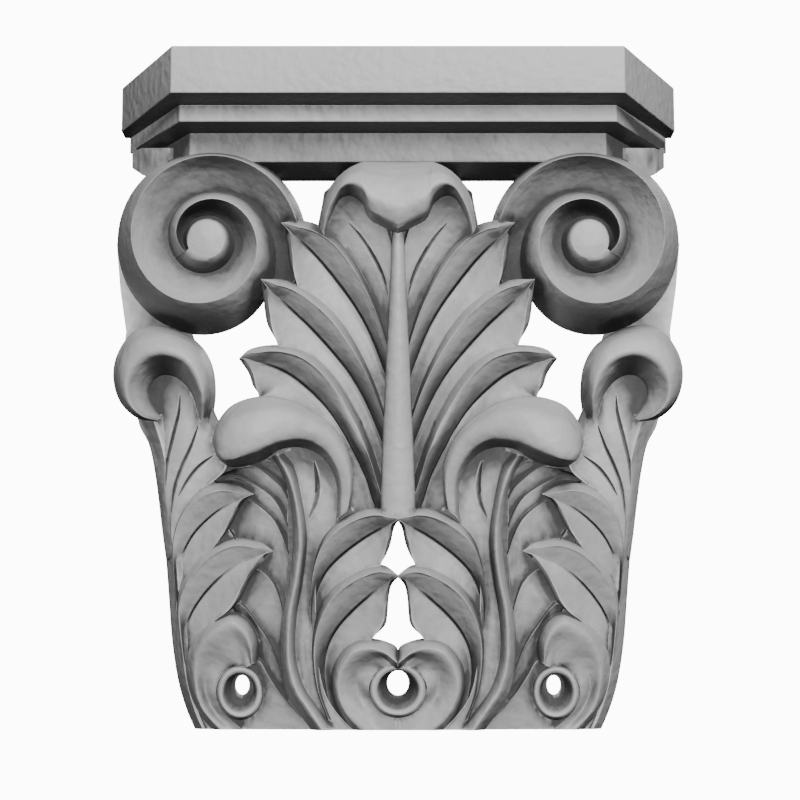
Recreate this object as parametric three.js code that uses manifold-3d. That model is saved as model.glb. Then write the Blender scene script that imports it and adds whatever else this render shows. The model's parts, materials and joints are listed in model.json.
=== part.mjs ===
import * as THREE from 'three';
import Module from 'manifold-3d';

const wasm = await Module();
wasm.setup();

// Driving sizes, in millimetres
const carvingHeight = 285;
const carvingHalfWidth = 141;
const carvingDepth = 80;
const slabHeight = 24;
const fasciaHeight = 8.4;
const neckHeight = 15.1;
const slabProjection = 84;
const fasciaProjection = 62;
const neckProjection = 40;
const slabHalfFront = 112;
const slabHalfBack = 146;
const slabEndReturn = 13;
const fasciaHalfFront = 110;
const fasciaHalfBack = 143;
const neckHalfFront = 107;
const neckHalfBack = 130;

// The front is set out on an upright board, as someone a metre away and a little below sees it
const eyeDistance = 1000;
const eyeTilt = THREE.MathUtils.degToRad(8);
const boardDepth = 48;
const boardMiddle = 166;

// The leaves stand on a ground cut this far proud of the wall, and are rooted in it
const footLine = 1;
const groundProud = 22;
const rootProud = 8;
const shoulderProud = 6;

// How finely the carving is cut, and how close two corners may come before they are one
const grain = 0.001;
const turnStep = 30;
const ringSteps = 10;

// The drawing that the carving is set out on, in which every leaf has its place
const drawing = { height: 285, halfWidth: 141, depth: 80 };

const eye = new THREE.Vector3(
  0,
  -boardDepth - eyeDistance * Math.cos(eyeTilt),
  -eyeDistance * Math.sin(eyeTilt),
);

// A point of the drawing, [out from the centre line, up from the foot, proud of the wall],
// is carried along its line of sight until it stands that far off the wall
function carve([out, up, proud]) {
  const x = out * carvingHalfWidth / drawing.halfWidth;
  const rise = (up - boardMiddle) * carvingHeight / drawing.height;
  const depth = proud * carvingDepth / drawing.depth;
  const board = new THREE.Vector3(
    x,
    -boardDepth - rise * Math.sin(eyeTilt),
    rise * Math.cos(eyeTilt),
  );
  const reach = (-depth - eye.y) / (board.y - eye.y);
  return board.sub(eye).multiplyScalar(reach).add(eye);
}

function rooted([out, up]) {
  return carve([out, up, rootProud]);
}

function mix(a, b, share) {
  return a.map((value, k) => value + (b[k] - value) * share);
}

function curve(points) {
  const ends = points.map((point) => new THREE.Vector3(...point));
  return new THREE.CatmullRomCurve3(ends, false, 'centripetal');
}

function at(path, share) {
  return path.getPointAt(Math.min(1, Math.max(0, share))).toArray();
}

// Closed solids

function closedSolid(faces) {
  const places = new Map();
  const corners = [];
  const triangles = [];
  const cornerOf = (point) => {
    const key = point.toArray().map((value) => Math.round(value / grain)).join(' ');
    if (!places.has(key)) {
      places.set(key, places.size);
      corners.push(...point.toArray());
    }
    return places.get(key);
  };
  for (const face of faces) {
    const [a, b, c] = face.map(cornerOf);
    if (a !== b && b !== c && c !== a) triangles.push(a, b, c);
  }
  return facingOut(corners, triangles);
}

function facingOut(corners, triangles) {
  const point = (k) => new THREE.Vector3().fromArray(corners, 3 * k);
  let volume = 0;
  for (let k = 0; k < triangles.length; k += 3) {
    const [a, b, c] = [point(triangles[k]), point(triangles[k + 1]), point(triangles[k + 2])];
    volume += a.dot(b.cross(c));
  }
  const turned = [];
  for (let k = 0; k < triangles.length; k += 3) {
    const [a, b, c] = triangles.slice(k, k + 3);
    turned.push(...(volume > 0 ? [a, b, c] : [a, c, b]));
  }
  return new wasm.Manifold(new wasm.Mesh({
    numProp: 3,
    vertProperties: new Float32Array(corners),
    triVerts: new Uint32Array(turned),
  }));
}

function quad(a, b, c, d) {
  return [[a, b, c], [a, c, d]];
}

// A carved surface given as rows of points, closed by walls that run back to the wall face
function standing(rows, side = 1) {
  const placed = rows.map((row) => row.map(carve));
  const feet = rows.map((row) => [row[0], row[row.length - 1]].map(rooted));
  const faces = [];
  for (let i = 0; i + 1 < rows.length; i += 1) {
    const [here, next] = [placed[i], placed[i + 1]];
    const last = here.length - 1;
    for (let j = 0; j < last; j += 1) faces.push(...quad(here[j], here[j + 1], next[j + 1], next[j]));
    faces.push(...quad(feet[i][0], here[0], next[0], feet[i + 1][0]));
    faces.push(...quad(here[last], feet[i][1], feet[i + 1][1], next[last]));
    faces.push(...quad(feet[i][1], feet[i][0], feet[i + 1][0], feet[i + 1][1]));
  }
  for (const i of [0, rows.length - 1]) {
    const rim = [...placed[i], feet[i][1]];
    for (let j = 0; j + 1 < rim.length; j += 1) {
      const cap = [feet[i][0], rim[j + 1], rim[j]];
      faces.push(i === 0 ? cap : cap.reverse());
    }
  }
  const sided = faces.map((face) => face.map((point) => point.clone().setX(point.x * side)));
  return closedSolid(sided);
}

function bothSides(rows) {
  return [standing(rows, 1), standing(rows, -1)];
}

// Leaf lobes: each runs from its tip to its root, under the rim of the lobe below it

const underlap = 2.5;
const rimFall = 4;
const cornerShare = 0.3;
const widestCrest = 0.28;
const fullWidth = 22;
const tipRelief = 0.45;
const tipSink = 2;
const bodySink = 4.5;

const veined = [[0.33, 5], [0.52, 2], [0.58, 5.5], [1, 3]];
const plain = [[0.5, 3], [1, 4]];

function lobe({ rim, below, tipEdge, meets, across = veined, bevel = 4, relief = 1, steps = [3, 4] }) {
  const [tipSteps, bodySteps] = steps;
  const outer = curve(rim);
  const lower = curve(below);
  const tip = rim[0];
  const landing = at(lower, meets);
  const edge = curve([tip, tipEdge, landing]);
  const rows = [];
  for (let k = 0; k <= tipSteps + bodySteps; k += 1) {
    const onTip = k <= tipSteps;
    const tipShare = Math.min(1, k / tipSteps);
    const bodyShare = (k - tipSteps) / bodySteps;
    const top = at(outer, onTip ? tipShare * cornerShare : cornerShare + (1 - cornerShare) * bodyShare);
    const seam = onTip ? at(edge, tipShare) : at(lower, meets + (1 - meets) * bodyShare);
    const width = Math.hypot(top[0] - seam[0], top[1] - seam[1]);
    const tuck = k < tipSteps ? 0 : underlap / Math.max(width, underlap);
    const foot = [...mix(seam, top, -tuck).slice(0, 2), seam[2]];
    const rounded = onTip ? tipRelief + (1 - tipRelief) * tipShare : 1;
    const fullness = relief * Math.min(1, width / fullWidth) * rounded;
    const crestShare = Math.min(widestCrest, bevel / Math.max(width, grain));
    const footDrop = onTip ? tipSink * tipShare : bodySink;
    const row = [[top[0], top[1], top[2] - rimFall * fullness], mix(top, foot, crestShare)];
    row[1][2] = top[2];
    for (const [share, drop] of across) {
      const point = mix(top, foot, crestShare + (1 - crestShare) * share);
      point[2] = top[2] + (foot[2] - footDrop - top[2]) * share ** 2 - drop * fullness * (share < 1 ? 1 : 0);
      row.push(point);
    }
    rows.push(k === 0 ? row.map(() => tip) : row);
  }
  return bothSides(rows);
}

function fan({ rims, tipEdges, meets, ...finish }) {
  return tipEdges.flatMap((tipEdge, k) => lobe({
    rim: rims[k],
    below: rims[k + 1],
    tipEdge,
    meets: meets[k],
    ...finish,
  }));
}

// Middle leaf: four lobes a side, fanning from the stem
const middleRims = [
  [[37, 270, 54], [29, 276, 54], [19, 274, 55], [8, 262, 56], [1, 240, 56]],
  [[58.5, 254.7, 58], [48, 255.8, 57], [36.5, 252, 56], [26.5, 243.5, 55], [13, 220, 54], [2, 186, 54]],
  [[68.5, 226.5, 60], [54, 225.5, 58], [39, 216.5, 56], [26.5, 203.5, 54], [12.5, 177, 53], [2, 144, 52]],
  [[79.7, 186.7, 60], [74, 191.5, 59], [59, 193.5, 58], [44, 189, 56], [29, 174.5, 54], [14, 146, 52],
    [2, 108, 50]],
  [[68.5, 168, 54], [54, 166, 54], [39, 158, 53], [26.5, 144.5, 52], [24, 125, 50], [19, 108, 48],
    [4, 98, 46]],
];
const middleLeaf = () => fan({
  rims: middleRims,
  tipEdges: [[37.5, 261, 54], [54.5, 238, 57], [65.5, 208, 58], [73, 175.5, 58]],
  meets: [0.36, 0.17, 0.17, 0],
});

// Side leaf: two lobes above the small foot scroll
const footScrollRim = [
  [70, 34.5, 46], [69, 43.5, 47], [74, 56, 47], [84, 60.2, 46], [96.5, 52.5, 43], [105, 38.5, 38],
  [105, 26, 34], [100, 12, 30], [91, -2, 28],
];
const sideRims = [
  [[72, 119, 50], [81.5, 123.7, 48], [92.5, 124, 45], [104, 117.5, 40], [112, 102, 34], [112.5, 80, 30],
    [111, 66, 28]],
  [[62.5, 90.5, 51], [68, 94.5, 50], [81, 97, 48], [91.5, 93.5, 45], [103, 83.5, 40], [110.5, 68.5, 34],
    [109.5, 51, 30], [107, 33.5, 28], [102.5, 16, 26], [96, -2, 25]],
  footScrollRim,
];
const sideLeaf = () => fan({
  rims: sideRims,
  tipEdges: [[81, 109.5, 48], [76.5, 72, 49]],
  meets: [0.24, 0.38],
});

// Foot leaf: two pairs of lobes whose tips meet on the centre line, above a pair of scrolls
const middleScrollRim = [
  [0, 36, 58], [0.5, 40.5, 58], [5, 45, 58], [11.5, 46.7, 57], [24, 44, 55], [33, 30, 52], [33.5, 21, 50],
  [30, 10, 47], [22, -2, 45],
];
const footRims = [
  [[-0.8, 106.5, 60], [10, 112, 59], [24, 109, 57], [36.5, 98.5, 54], [41.7, 86, 51], [44.5, 66, 48]],
  [[-0.8, 78, 60], [8, 83.7, 59], [21.5, 80, 57], [35.5, 69, 53], [43.2, 51, 49], [43, 26, 46],
    [38, 8, 45]],
  middleScrollRim,
];
const footLeaf = () => fan({
  rims: footRims,
  tipEdges: [[4.5, 94.5, 58], [6, 62, 58]],
  meets: [0.11, 0.24],
});

// Low leaf behind: narrow lobes between the side leaf and the S-shaped stem
const lowRims = [
  [[86, 136, 38], [70, 138, 40], [61, 136, 41], [56, 128, 42]],
  [[88, 130.5, 38], [79, 132.5, 40], [70, 133.2, 41], [59, 125, 42], [55, 118, 42]],
  [[92, 126, 36], [80, 128.5, 40], [64, 120.5, 42], [59, 113.5, 42], [55, 104, 42]],
  [[88, 121, 36], [74, 117.5, 40], [63, 109, 42], [58.5, 101, 42], [54.5, 90, 42]],
  [[81.5, 78.5, 36], [70, 83, 40], [62.5, 77, 42], [59.5, 70, 42], [57, 60, 42]],
  [[83, 63, 36], [79.5, 66, 40], [69, 53.5, 41], [63, 43.5, 40], [58.5, 32, 39]],
  [[76, 36, 34], [69, 37.5, 38], [64, 29.5, 38], [59, 21, 38], [54, 14, 38]],
  [[91.5, -2, 28], [76.5, -2, 32], [59, -2, 34], [40, -2, 36]],
];
const lowLeaf = () => fan({
  rims: lowRims,
  tipEdges: [[88, 133, 36], [90, 128, 35], [91, 123, 35], [90, 98, 32], [81, 72, 34], [78, 50, 34],
    [88, 18, 28]],
  meets: [0, 0, 0, 0, 0, 0, 0],
  across: plain,
  bevel: 1.6,
  relief: 0.8,
  steps: [1, 3],
});

// Surfaces given station by station, each a short row of points across

function resample(stations, count) {
  const paths = stations[0].map((point, j) => curve(stations.map((row) => row[j])));
  return Array.from({ length: count + 1 }, (unused, k) => paths.map((path) => {
    return path.getPoint(k / count).toArray();
  }));
}

// Hanging leaf end over the S-shaped stem: a full round bulb, with its underside tucked back
const hookStations = [
  [[93, 146, 50], [92.8, 144.5, 52], [92.5, 143, 52], [92.5, 142.5, 50], [92, 141.5, 42]],
  [[90.5, 154.5, 52], [90.5, 148, 64], [89.5, 139, 67], [88.5, 135.7, 62], [86, 133.5, 44]],
  [[83, 163.5, 52], [83, 155, 69], [82.5, 142, 72], [82.5, 135.5, 66], [79, 132.5, 46]],
  [[68, 168, 54], [69, 160, 70], [70.5, 149, 73], [71.5, 141.5, 67], [68, 135.5, 48]],
  [[54, 166, 54], [55, 160, 68], [57, 152, 70], [59, 146.7, 65], [58, 141.5, 48]],
  [[39, 158, 54], [41, 154.5, 63], [43.5, 150, 65], [46.5, 146.2, 61], [47, 142, 48]],
  [[29, 148, 53], [31.5, 146.5, 59], [33.5, 144.2, 60], [36.5, 141, 57], [38, 137.5, 48]],
  [[23, 133.5, 52], [25, 133, 56], [27, 132.5, 57], [30.5, 132, 55], [33, 130.5, 47]],
  [[22.5, 122, 51], [24, 122, 54], [25.5, 122, 54], [28.2, 122, 53], [30.5, 122, 46]],
  [[24, 112, 49], [25, 111, 51], [26, 110, 51], [28.5, 108, 50], [31, 105, 45]],
];
const hooks = () => bothSides(resample(hookStations, 10));

// Rolled leaf end at the outer corner
const rollStations = [
  [[94, 156.5, 36], [96, 156.2, 44], [97.5, 156, 46], [99, 156, 44], [99.5, 157.5, 34]],
  [[91, 170, 40], [94, 170, 54], [97.5, 170, 57], [100.5, 170, 53], [102.5, 167.5, 36]],
  [[93, 184, 40], [97, 182, 56], [101, 179.5, 59], [104, 177.5, 54], [106, 173, 36]],
  [[101, 195.5, 40], [104, 191, 57], [107, 186.5, 60], [109.5, 183.5, 54], [110.5, 177, 36]],
  [[117.5, 203.2, 40], [117.5, 197, 57], [117.8, 190, 60], [118, 186, 54], [116.5, 178.5, 36]],
  [[131.5, 200.7, 40], [129.5, 195, 56], [127.5, 188, 59], [126, 183, 53], [121.5, 176.5, 36]],
  [[140, 190, 40], [137, 186, 54], [134, 181, 57], [131, 177, 52], [124.2, 171.5, 36]],
  [[142.5, 178, 39], [139, 176, 52], [136, 173.5, 55], [132.5, 171, 50], [124, 166, 36]],
  [[139, 165, 38], [136.5, 165, 50], [134.5, 165, 52], [131.5, 165, 48], [122, 162, 36]],
  [[130.5, 157, 37], [129.5, 157.6, 46], [128.3, 158.2, 48], [126.5, 159, 44], [120, 159, 36]],
  [[120.5, 155, 35], [120.5, 155.5, 38], [120.5, 155.8, 39], [120.5, 156, 38], [118, 157, 34]],
];
const cornerRolls = () => bothSides(resample(rollStations, 10));

// Leaf that carries the corner roll, with three cut veins drawn together towards its foot
const cornerLeafStations = [
  [[125, 180, 30], [110, 181, 26], [104, 176, 32], [100, 172, 28], [96, 167, 32], [92, 161, 32]],
  [[124, 156, 34], [109, 158.5, 29], [102.5, 156, 37], [99.5, 151, 30], [93, 147, 34], [86, 146, 34]],
  [[121.5, 143.5, 33], [111.5, 147, 28], [106, 146, 36], [104, 141, 29], [96, 136, 33], [86, 132, 34]],
  [[119, 131, 32], [115, 135, 27], [111, 133.5, 35], [108.5, 130, 28], [104, 127.5, 33], [94, 124, 34]],
  [[116.5, 116, 31], [116, 123.5, 26], [114, 121, 33], [112, 116, 27], [110, 113.5, 32], [103, 116, 34]],
  [[114, 101, 30], [115, 108.5, 25], [114, 106, 30], [113.5, 103.5, 26], [112.5, 101, 30], [110, 101, 31]],
  [[112.5, 86, 28], [113, 90, 24], [112.8, 89, 26], [112.6, 88, 24], [112.4, 87, 26], [112, 86, 27]],
];
const cornerLeaves = () => bothSides(resample(cornerLeafStations, 7));

// Outer flank, turned back towards the wall
const flankStations = [
  [[131, 158, 10], [124, 158, 30], [112, 160, 26]],
  [[124.5, 143.5, 10], [121, 144, 30], [108, 146, 26]],
  [[121, 126, 10], [117.5, 126, 30], [104, 126, 26]],
  [[118, 106, 10], [114.5, 106, 29], [100, 106, 25]],
  [[116, 86, 10], [112.5, 86, 28], [98, 86, 25]],
  [[114.5, 66, 10], [111, 66, 27], [97, 66, 25]],
  [[113, 46, 10], [110, 46, 26], [96, 46, 25]],
  [[110, 26, 10], [107, 24, 25], [92, 24, 25]],
  [[106, 12, 10], [102, 9, 25], [89, 10, 23.5]],
  [[100, -2, 10], [97, -2, 24], [86, -2, 23]],
];
const flanks = () => bothSides(resample(flankStations, 6));

// S-shaped stems and the ground between them and the foot leaf
const stemStations = [
  [[63.5, 138, 44], [60.5, 139, 50], [57.5, 140, 44]],
  [[59, 131, 44], [55.5, 130, 53], [52.5, 133.5, 44]],
  [[54.5, 118, 44], [51.7, 118, 55], [48, 116, 44]],
  [[52.5, 96, 44], [49, 96, 55], [45.5, 96, 44]],
  [[54.5, 76, 44], [51, 76, 55], [47.5, 76, 44]],
  [[57.5, 61, 43], [54, 61, 54], [50, 61, 43]],
  [[59, 46, 42], [55, 46, 54], [51, 46, 42]],
  [[58.5, 33.5, 42], [54.5, 33.5, 54], [50, 33.5, 42]],
  [[56, 20, 41], [51, 21, 54], [46, 22, 42]],
  [[50, 10, 40], [45, 11.5, 53], [40, 13, 42]],
  [[41, -2, 38], [36, -2, 50], [29, -2, 42]],
];
const stems = () => bothSides(resample(stemStations, 10));
const groundStations = [
  [[60, 139, 42], [49, 144, 36], [43, 145, 32]],
  [[55, 130, 44], [41.5, 134, 38], [35, 138, 33]],
  [[52, 118, 44], [40.5, 124, 41], [29, 126, 38]],
  [[49, 100, 44], [43, 108, 42], [29, 110, 42]],
  [[50, 76, 44], [45, 80, 43], [40, 82, 44]],
  [[54, 60, 43], [47, 58, 43], [41, 58, 42]],
  [[55, 36, 42], [46, 36, 43], [40, 36, 43]],
  [[50, 17, 42], [43, 16, 43], [35, 16, 42]],
  [[38, -2, 40], [31, -2, 41], [20, -2, 41]],
];
const grounds = () => bothSides(resample(groundStations, 6));

// Stem of the middle leaf, a rounded rib that widens downwards
const ribStations = [
  { up: 254, half: 3, proud: 60 },
  { up: 236, half: 3.6, proud: 62 },
  { up: 200, half: 5.2, proud: 60 },
  { up: 166, half: 6.8, proud: 58 },
  { up: 126, half: 8.5, proud: 57 },
  { up: 106, half: 8.8, proud: 56 },
];
function middleRib() {
  const across = [[-1, 7], [-0.6, 1.2], [0, 0], [0.6, 1.2], [1, 7]];
  const rows = ribStations.map(({ up, half, proud }) => {
    return across.map(([share, drop]) => [share * half, up, proud - drop]);
  });
  return standing(rows);
}

// Head of the middle leaf, rolled forward under the abacus, with a scalloped lip
const curlStations = [
  [0, 285, 252], [6.5, 285, 255.2], [14.5, 285.1, 260], [18.5, 284.8, 268],
  [24.5, 282, 271.5], [29, 278.5, 270.2], [32.5, 274.7, 266], [37, 267.5, 257],
  [38.8, 256, 253],
];
function curl() {
  const across = [[0, 58], [0.16, 70], [0.38, 78], [0.66, 80], [0.9, 77], [1, 74]];
  const half = curlStations.map(([out, top, lip], k) => {
    const fade = k / (curlStations.length - 1);
    const fall = 20 * fade ** 3;
    const sweep = 3.2 * fade ** 2;
    const row = across.map(([share, proud]) => {
      return [out - sweep * share, top + (lip - top) * share, proud - fall * (1 - 0.2 * share)];
    });
    row.push([out - sweep * 1.1, lip - 3.2 * (1 - fade), 58 - 6 * fade]);
    return row;
  });
  const mirrored = half.slice(1).reverse().map((row) => row.map(([out, up, proud]) => [-out, up, proud]));
  return standing([...mirrored, ...half]);
}

// Volutes: one spiral sheet, with a sharp ridge, a hollow channel inside it and a rounded eye
const voluteEye = [96.5, 246];
const voluteStart = -30;
const voluteEnd = 570;
const ridgeTurns = [
  [-30, 49.5], [13, 46.5], [90, 42.2], [180, 36.8], [270, 31.3], [360, 25.7], [450, 20.4], [540, 14],
  [570, 11.2],
];
const wallTurns = [
  [-30, 53.5], [11, 50.5], [40, 48.6], [90, 43.8], [180, 43.6], [270, 48.4], [306, 44.5], [330, 39.5],
  [352, 35.3], [405, 28.3], [450, 23.8], [540, 18], [630, 16.7], [720, 15], [810, 12], [900, 11],
  [930, 10.8],
];
const voluteCrest = 57;
const voluteFoot = [[-30, 20], [300, 20], [360, 42], [930, 44]];
const eyeTop = { out: 96, up: 247.3, reach: 8.5, proud: 55 };

function turned(table, angle) {
  const k = Math.max(1, table.findIndex(([end]) => end >= angle));
  const [[startAngle, start], [endAngle, end]] = [table[k - 1], table[k]];
  return start + (end - start) * (angle - startAngle) / (endAngle - startAngle);
}

function aroundEye(reach, angle, proud) {
  const turn = THREE.MathUtils.degToRad(angle);
  return [voluteEye[0] - reach * Math.cos(turn), voluteEye[1] + reach * Math.sin(turn), proud];
}

function voluteWall(angle) {
  return aroundEye(turned(wallTurns, angle), angle, turned(voluteFoot, angle));
}

function voluteRow(angle) {
  const foot = voluteWall(angle);
  const ridge = aroundEye(turned(ridgeTurns, angle), angle, voluteCrest);
  const inner = voluteWall(angle + 360);
  const shoulder = mix(ridge, foot, 0.4);
  shoulder[2] = mix(ridge, foot, 0.2)[2];
  const bowl = [0.33, 0.68].map((share) => {
    const point = mix(ridge, inner, share);
    point[2] -= 2.5 * Math.sin(Math.PI * share);
    return point;
  });
  return [foot, shoulder, ridge, ...bowl, inner];
}

function volute(side) {
  const steps = (voluteEnd - voluteStart) / turnStep;
  const turn = 360 / turnStep;
  const rows = Array.from({ length: steps + 1 }, (unused, k) => voluteRow(voluteStart + k * turnStep));
  const placed = rows.map((row) => row.map(carve));
  const wall = placed.slice(0, turn + 1).map((row) => row[0]);
  const roots = rows.slice(0, turn + 1).map((row) => rooted(row[0]));
  const faces = [];
  for (let k = 0; k < steps; k += 1) {
    for (let j = 0; j < 5; j += 1) {
      faces.push(...quad(placed[k][j], placed[k][j + 1], placed[k + 1][j + 1], placed[k + 1][j]));
    }
  }
  const middle = rooted(voluteEye);
  for (let k = 0; k < turn; k += 1) {
    faces.push(...quad(roots[k], wall[k], wall[k + 1], roots[k + 1]));
    faces.push([middle, roots[k], roots[k + 1]]);
  }
  faces.push([middle, roots[turn], roots[0]]);
  const startRim = [roots[0], ...placed[0], roots[turn]];
  for (let j = 1; j + 1 < startRim.length; j += 1) faces.push([startRim[0], startRim[j + 1], startRim[j]]);
  const eyeFoot = [...rows.slice(-turn - 1).map((row) => row[5]), ...rows[steps].slice(1, 5).reverse()];
  const closed = [rows[steps][0], ...eyeFoot.slice(1)];
  faces.push(...eyeDome(closed));
  return closedSolid(faces.map((face) => face.map((point) => point.clone().setX(point.x * side))));
}

function eyeDome(rim) {
  const centre = carve([eyeTop.out, eyeTop.up, eyeTop.proud + 1.5]);
  const shoulders = rim.map(([out, up]) => {
    const reach = Math.hypot(out - eyeTop.out, up - eyeTop.up);
    const share = eyeTop.reach / reach;
    return carve([
      eyeTop.out + (out - eyeTop.out) * share,
      eyeTop.up + (up - eyeTop.up) * share,
      eyeTop.proud,
    ]);
  });
  return rim.flatMap((point, k) => {
    const next = (k + 1) % rim.length;
    return [
      ...quad(carve(point), shoulders[k], shoulders[next], carve(rim[next])),
      [shoulders[k], centre, shoulders[next]],
    ];
  });
}

// A surface that closes round on itself, from its outer edge to its middle
function ringed(rows, side) {
  const placed = rows.map((row) => row.map(carve));
  const feet = rows.map((row) => [row[0], row[row.length - 1]].map(rooted));
  const faces = [];
  for (let i = 0; i + 1 < rows.length; i += 1) {
    const loop = (k) => [feet[k][0], ...placed[k], feet[k][1]];
    const [here, next] = [loop(i), loop(i + 1)];
    for (let j = 0; j < here.length; j += 1) {
      const after = (j + 1) % here.length;
      faces.push(...quad(here[j], here[after], next[after], next[j]));
    }
  }
  const sided = faces.map((face) => face.map((point) => point.clone().setX(point.x * side)));
  return closedSolid(sided);
}

// Scroll fields: the leaf turns over and round to a ringed eye
const footScrollStations = [
  [[91, -2, 28], [86, -2, 33], [80, -2, 33], [74, -2, 34]],
  [[101, 12, 30], [98, 12, 35], [92, 11, 32], [87, 10, 35]],
  [[105.5, 26, 34], [101.5, 25, 38], [96, 21.5, 33], [91, 18.5, 36]],
  [[105.5, 38.5, 36], [101, 36.5, 41], [95, 31, 34], [89.5, 26.5, 37]],
  [[102, 46, 39], [98, 43.5, 44], [91, 36.5, 35], [84.5, 31, 38]],
  [[96.5, 52.5, 41], [93.5, 49, 47], [87, 39, 36], [81, 32, 39]],
  [[89.5, 57, 42], [88, 53, 49], [84, 42, 38], [79, 31.5, 40]],
  [[83, 60.2, 43], [82.5, 54.5, 50], [80, 44, 40], [77.5, 32, 41]],
  [[75, 56.7, 43], [76.5, 49.5, 50], [76.5, 41, 43], [76, 32.5, 43]],
  [[69.5, 47, 43], [73.5, 42, 49], [74.5, 37, 45], [74, 33.2, 44]],
  [[70, 34.5, 42], [73, 34, 46], [73.5, 33.8, 45], [73, 33.5, 44]],
];
const middleScrollStations = [
  [[22, -2, 44], [15, -2, 47], [8, -2, 46], [-0.8, -2, 46]],
  [[30, 10, 46], [26, 9.5, 50], [14, 8, 46], [-0.8, 7, 48]],
  [[33.5, 21, 47], [30, 21, 53], [20, 21, 46], [14.5, 21, 51]],
  [[33, 30, 48], [29, 29.5, 55], [20, 28.5, 46], [12.5, 27.5, 51]],
  [[29.5, 38, 50], [26, 35.5, 57], [17.5, 32, 47], [9.5, 30, 51]],
  [[24, 44, 51], [22, 40, 59], [14, 34.5, 49], [7, 30.5, 51]],
  [[18, 46.5, 52], [17, 41.5, 60], [11, 36, 51], [5.5, 30.8, 52]],
  [[11.5, 46.7, 53], [12, 41.5, 61], [8, 36.5, 53], [4, 31, 52]],
  [[5, 45, 53], [7, 39, 61], [5, 35.5, 55], [2.5, 31.3, 53]],
  [[0.3, 40.5, 53], [3, 35, 60], [2.4, 33, 56], [1, 31.5, 53]],
];

function eyeRing({ out, up, wide, tall, proud }) {
  const section = [[1, -10], [0.83, 0], [0.62, -3], [0.4, -24]];
  const rows = [];
  for (let k = 0; k <= ringSteps; k += 1) {
    const turn = 2 * Math.PI * k / ringSteps;
    rows.push(section.map(([share, rise]) => {
      return [out + wide * share * Math.cos(turn), up + tall * share * Math.sin(turn), proud + rise];
    }));
  }
  return [1, -1].map((side) => ringed(rows, side));
}

const footEye = { out: 78.5, up: 19.5, wide: 12.5, tall: 13, proud: 44 };
const footBore = { out: 78, up: 23, wide: 3.6, tall: 5 };
const middleEye = { out: 0, up: 21, wide: 14.5, tall: 14.2, proud: 54 };
const middleBore = { out: 0, up: 24, wide: 6, tall: 6.6 };

function scrolls() {
  return [
    ...bothSides(resample(footScrollStations, 9)),
    ...bothSides(resample(middleScrollStations, 9)),
  ];
}

// Abacus: three square-edged courses, stepping out to the top, with canted corners
function course({ foot, height, projection, halfFront, halfBack, endReturn = 0 }) {
  const returns = endReturn > 0 ? [[halfBack, -endReturn]] : [];
  const right = [[halfFront, -projection], ...returns, [halfBack, 0]];
  const left = right.map(([x, y]) => [-x, y]).reverse();
  const plan = shapeOf([...left, ...right]);
  const shape = new THREE.ExtrudeGeometry(plan, { depth: height, bevelEnabled: false });
  shape.translate(0, 0, foot);
  return fromGeometry(shape);
}

function fromGeometry(geometry) {
  const place = geometry.attributes.position;
  const faces = [];
  for (let k = 0; k < place.count; k += 3) {
    faces.push([0, 1, 2].map((j) => new THREE.Vector3().fromBufferAttribute(place, k + j)));
  }
  return closedSolid(faces);
}

function abacus() {
  const bedding = 0.4;
  const neckFoot = carve([0, drawing.height, drawing.depth / 2]).z;
  const fasciaFoot = neckFoot + neckHeight;
  const slabFoot = fasciaFoot + fasciaHeight;
  return [
    course({
      foot: neckFoot,
      height: neckHeight + bedding,
      projection: neckProjection,
      halfFront: neckHalfFront,
      halfBack: neckHalfBack,
    }),
    course({
      foot: fasciaFoot,
      height: fasciaHeight + bedding,
      projection: fasciaProjection,
      halfFront: fasciaHalfFront,
      halfBack: fasciaHalfBack,
    }),
    course({
      foot: slabFoot,
      height: slabHeight,
      projection: slabProjection,
      halfFront: slabHalfFront,
      halfBack: slabHalfBack,
      endReturn: slabEndReturn,
    }),
  ];
}

// Ground behind the leaves, in one half, with its openings
const groundOutline = [
  [0, 292], [30, 292], [31, 250], [36, 246], [48, 250], [53, 253], [55, 262], [62, 275], [72, 283],
  [80, 292], [118, 292], [118, 276], [129, 268], [136, 257], [140.7, 244], [139, 222], [136, 200],
  [138, 186], [139, 174], [134, 162], [126, 156], [119, 138], [114, 106], [110, 66], [107, 36], [101, 12],
  [95, -2], [0, -2],
];
const shoulderOutline = [[116, 292], [116, 275], [121, 276], [128, 278.5], [133, 282], [133, 292]];
const sideOpening = [
  [103, 200], [86, 205], [72, 214], [64, 219], [60, 199], [59, 190], [72, 188], [75, 184], [69, 174],
  [65, 165], [76, 162], [87, 156], [96, 155], [95, 173], [98, 186],
];
const middleSlot = [
  [0, 110], [5, 104], [9, 92], [14, 83], [9, 80], [9, 60], [11, 52], [15, 45], [6, 42], [0, 36],
];

function shapeOf(points) {
  return new THREE.Shape(points.map(([out, up]) => new THREE.Vector2(out, up)));
}

function ground() {
  const half = shapeOf([...groundOutline, ...middleSlot.slice().reverse()]);
  half.holes.push(shapeOf(sideOpening));
  const block = new THREE.ExtrudeGeometry(half, { depth: groundProud, bevelEnabled: false });
  const shoulder = new THREE.ExtrudeGeometry(shapeOf(shoulderOutline), {
    depth: shoulderProud,
    bevelEnabled: false,
  });
  return [block, shoulder].flatMap((piece) => [1, -1].map((side) => carvedBlock(piece, side)));
}

// An upright block of the drawing, carried back along the lines of sight
function carvedBlock(geometry, side = 1) {
  const place = geometry.attributes.position;
  const faces = [];
  for (let k = 0; k < place.count; k += 3) {
    faces.push([0, 1, 2].map((j) => {
      const point = carve([place.getX(k + j), place.getY(k + j), place.getZ(k + j)]);
      return point.setX(point.x * side);
    }));
  }
  return closedSolid(faces);
}

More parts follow.
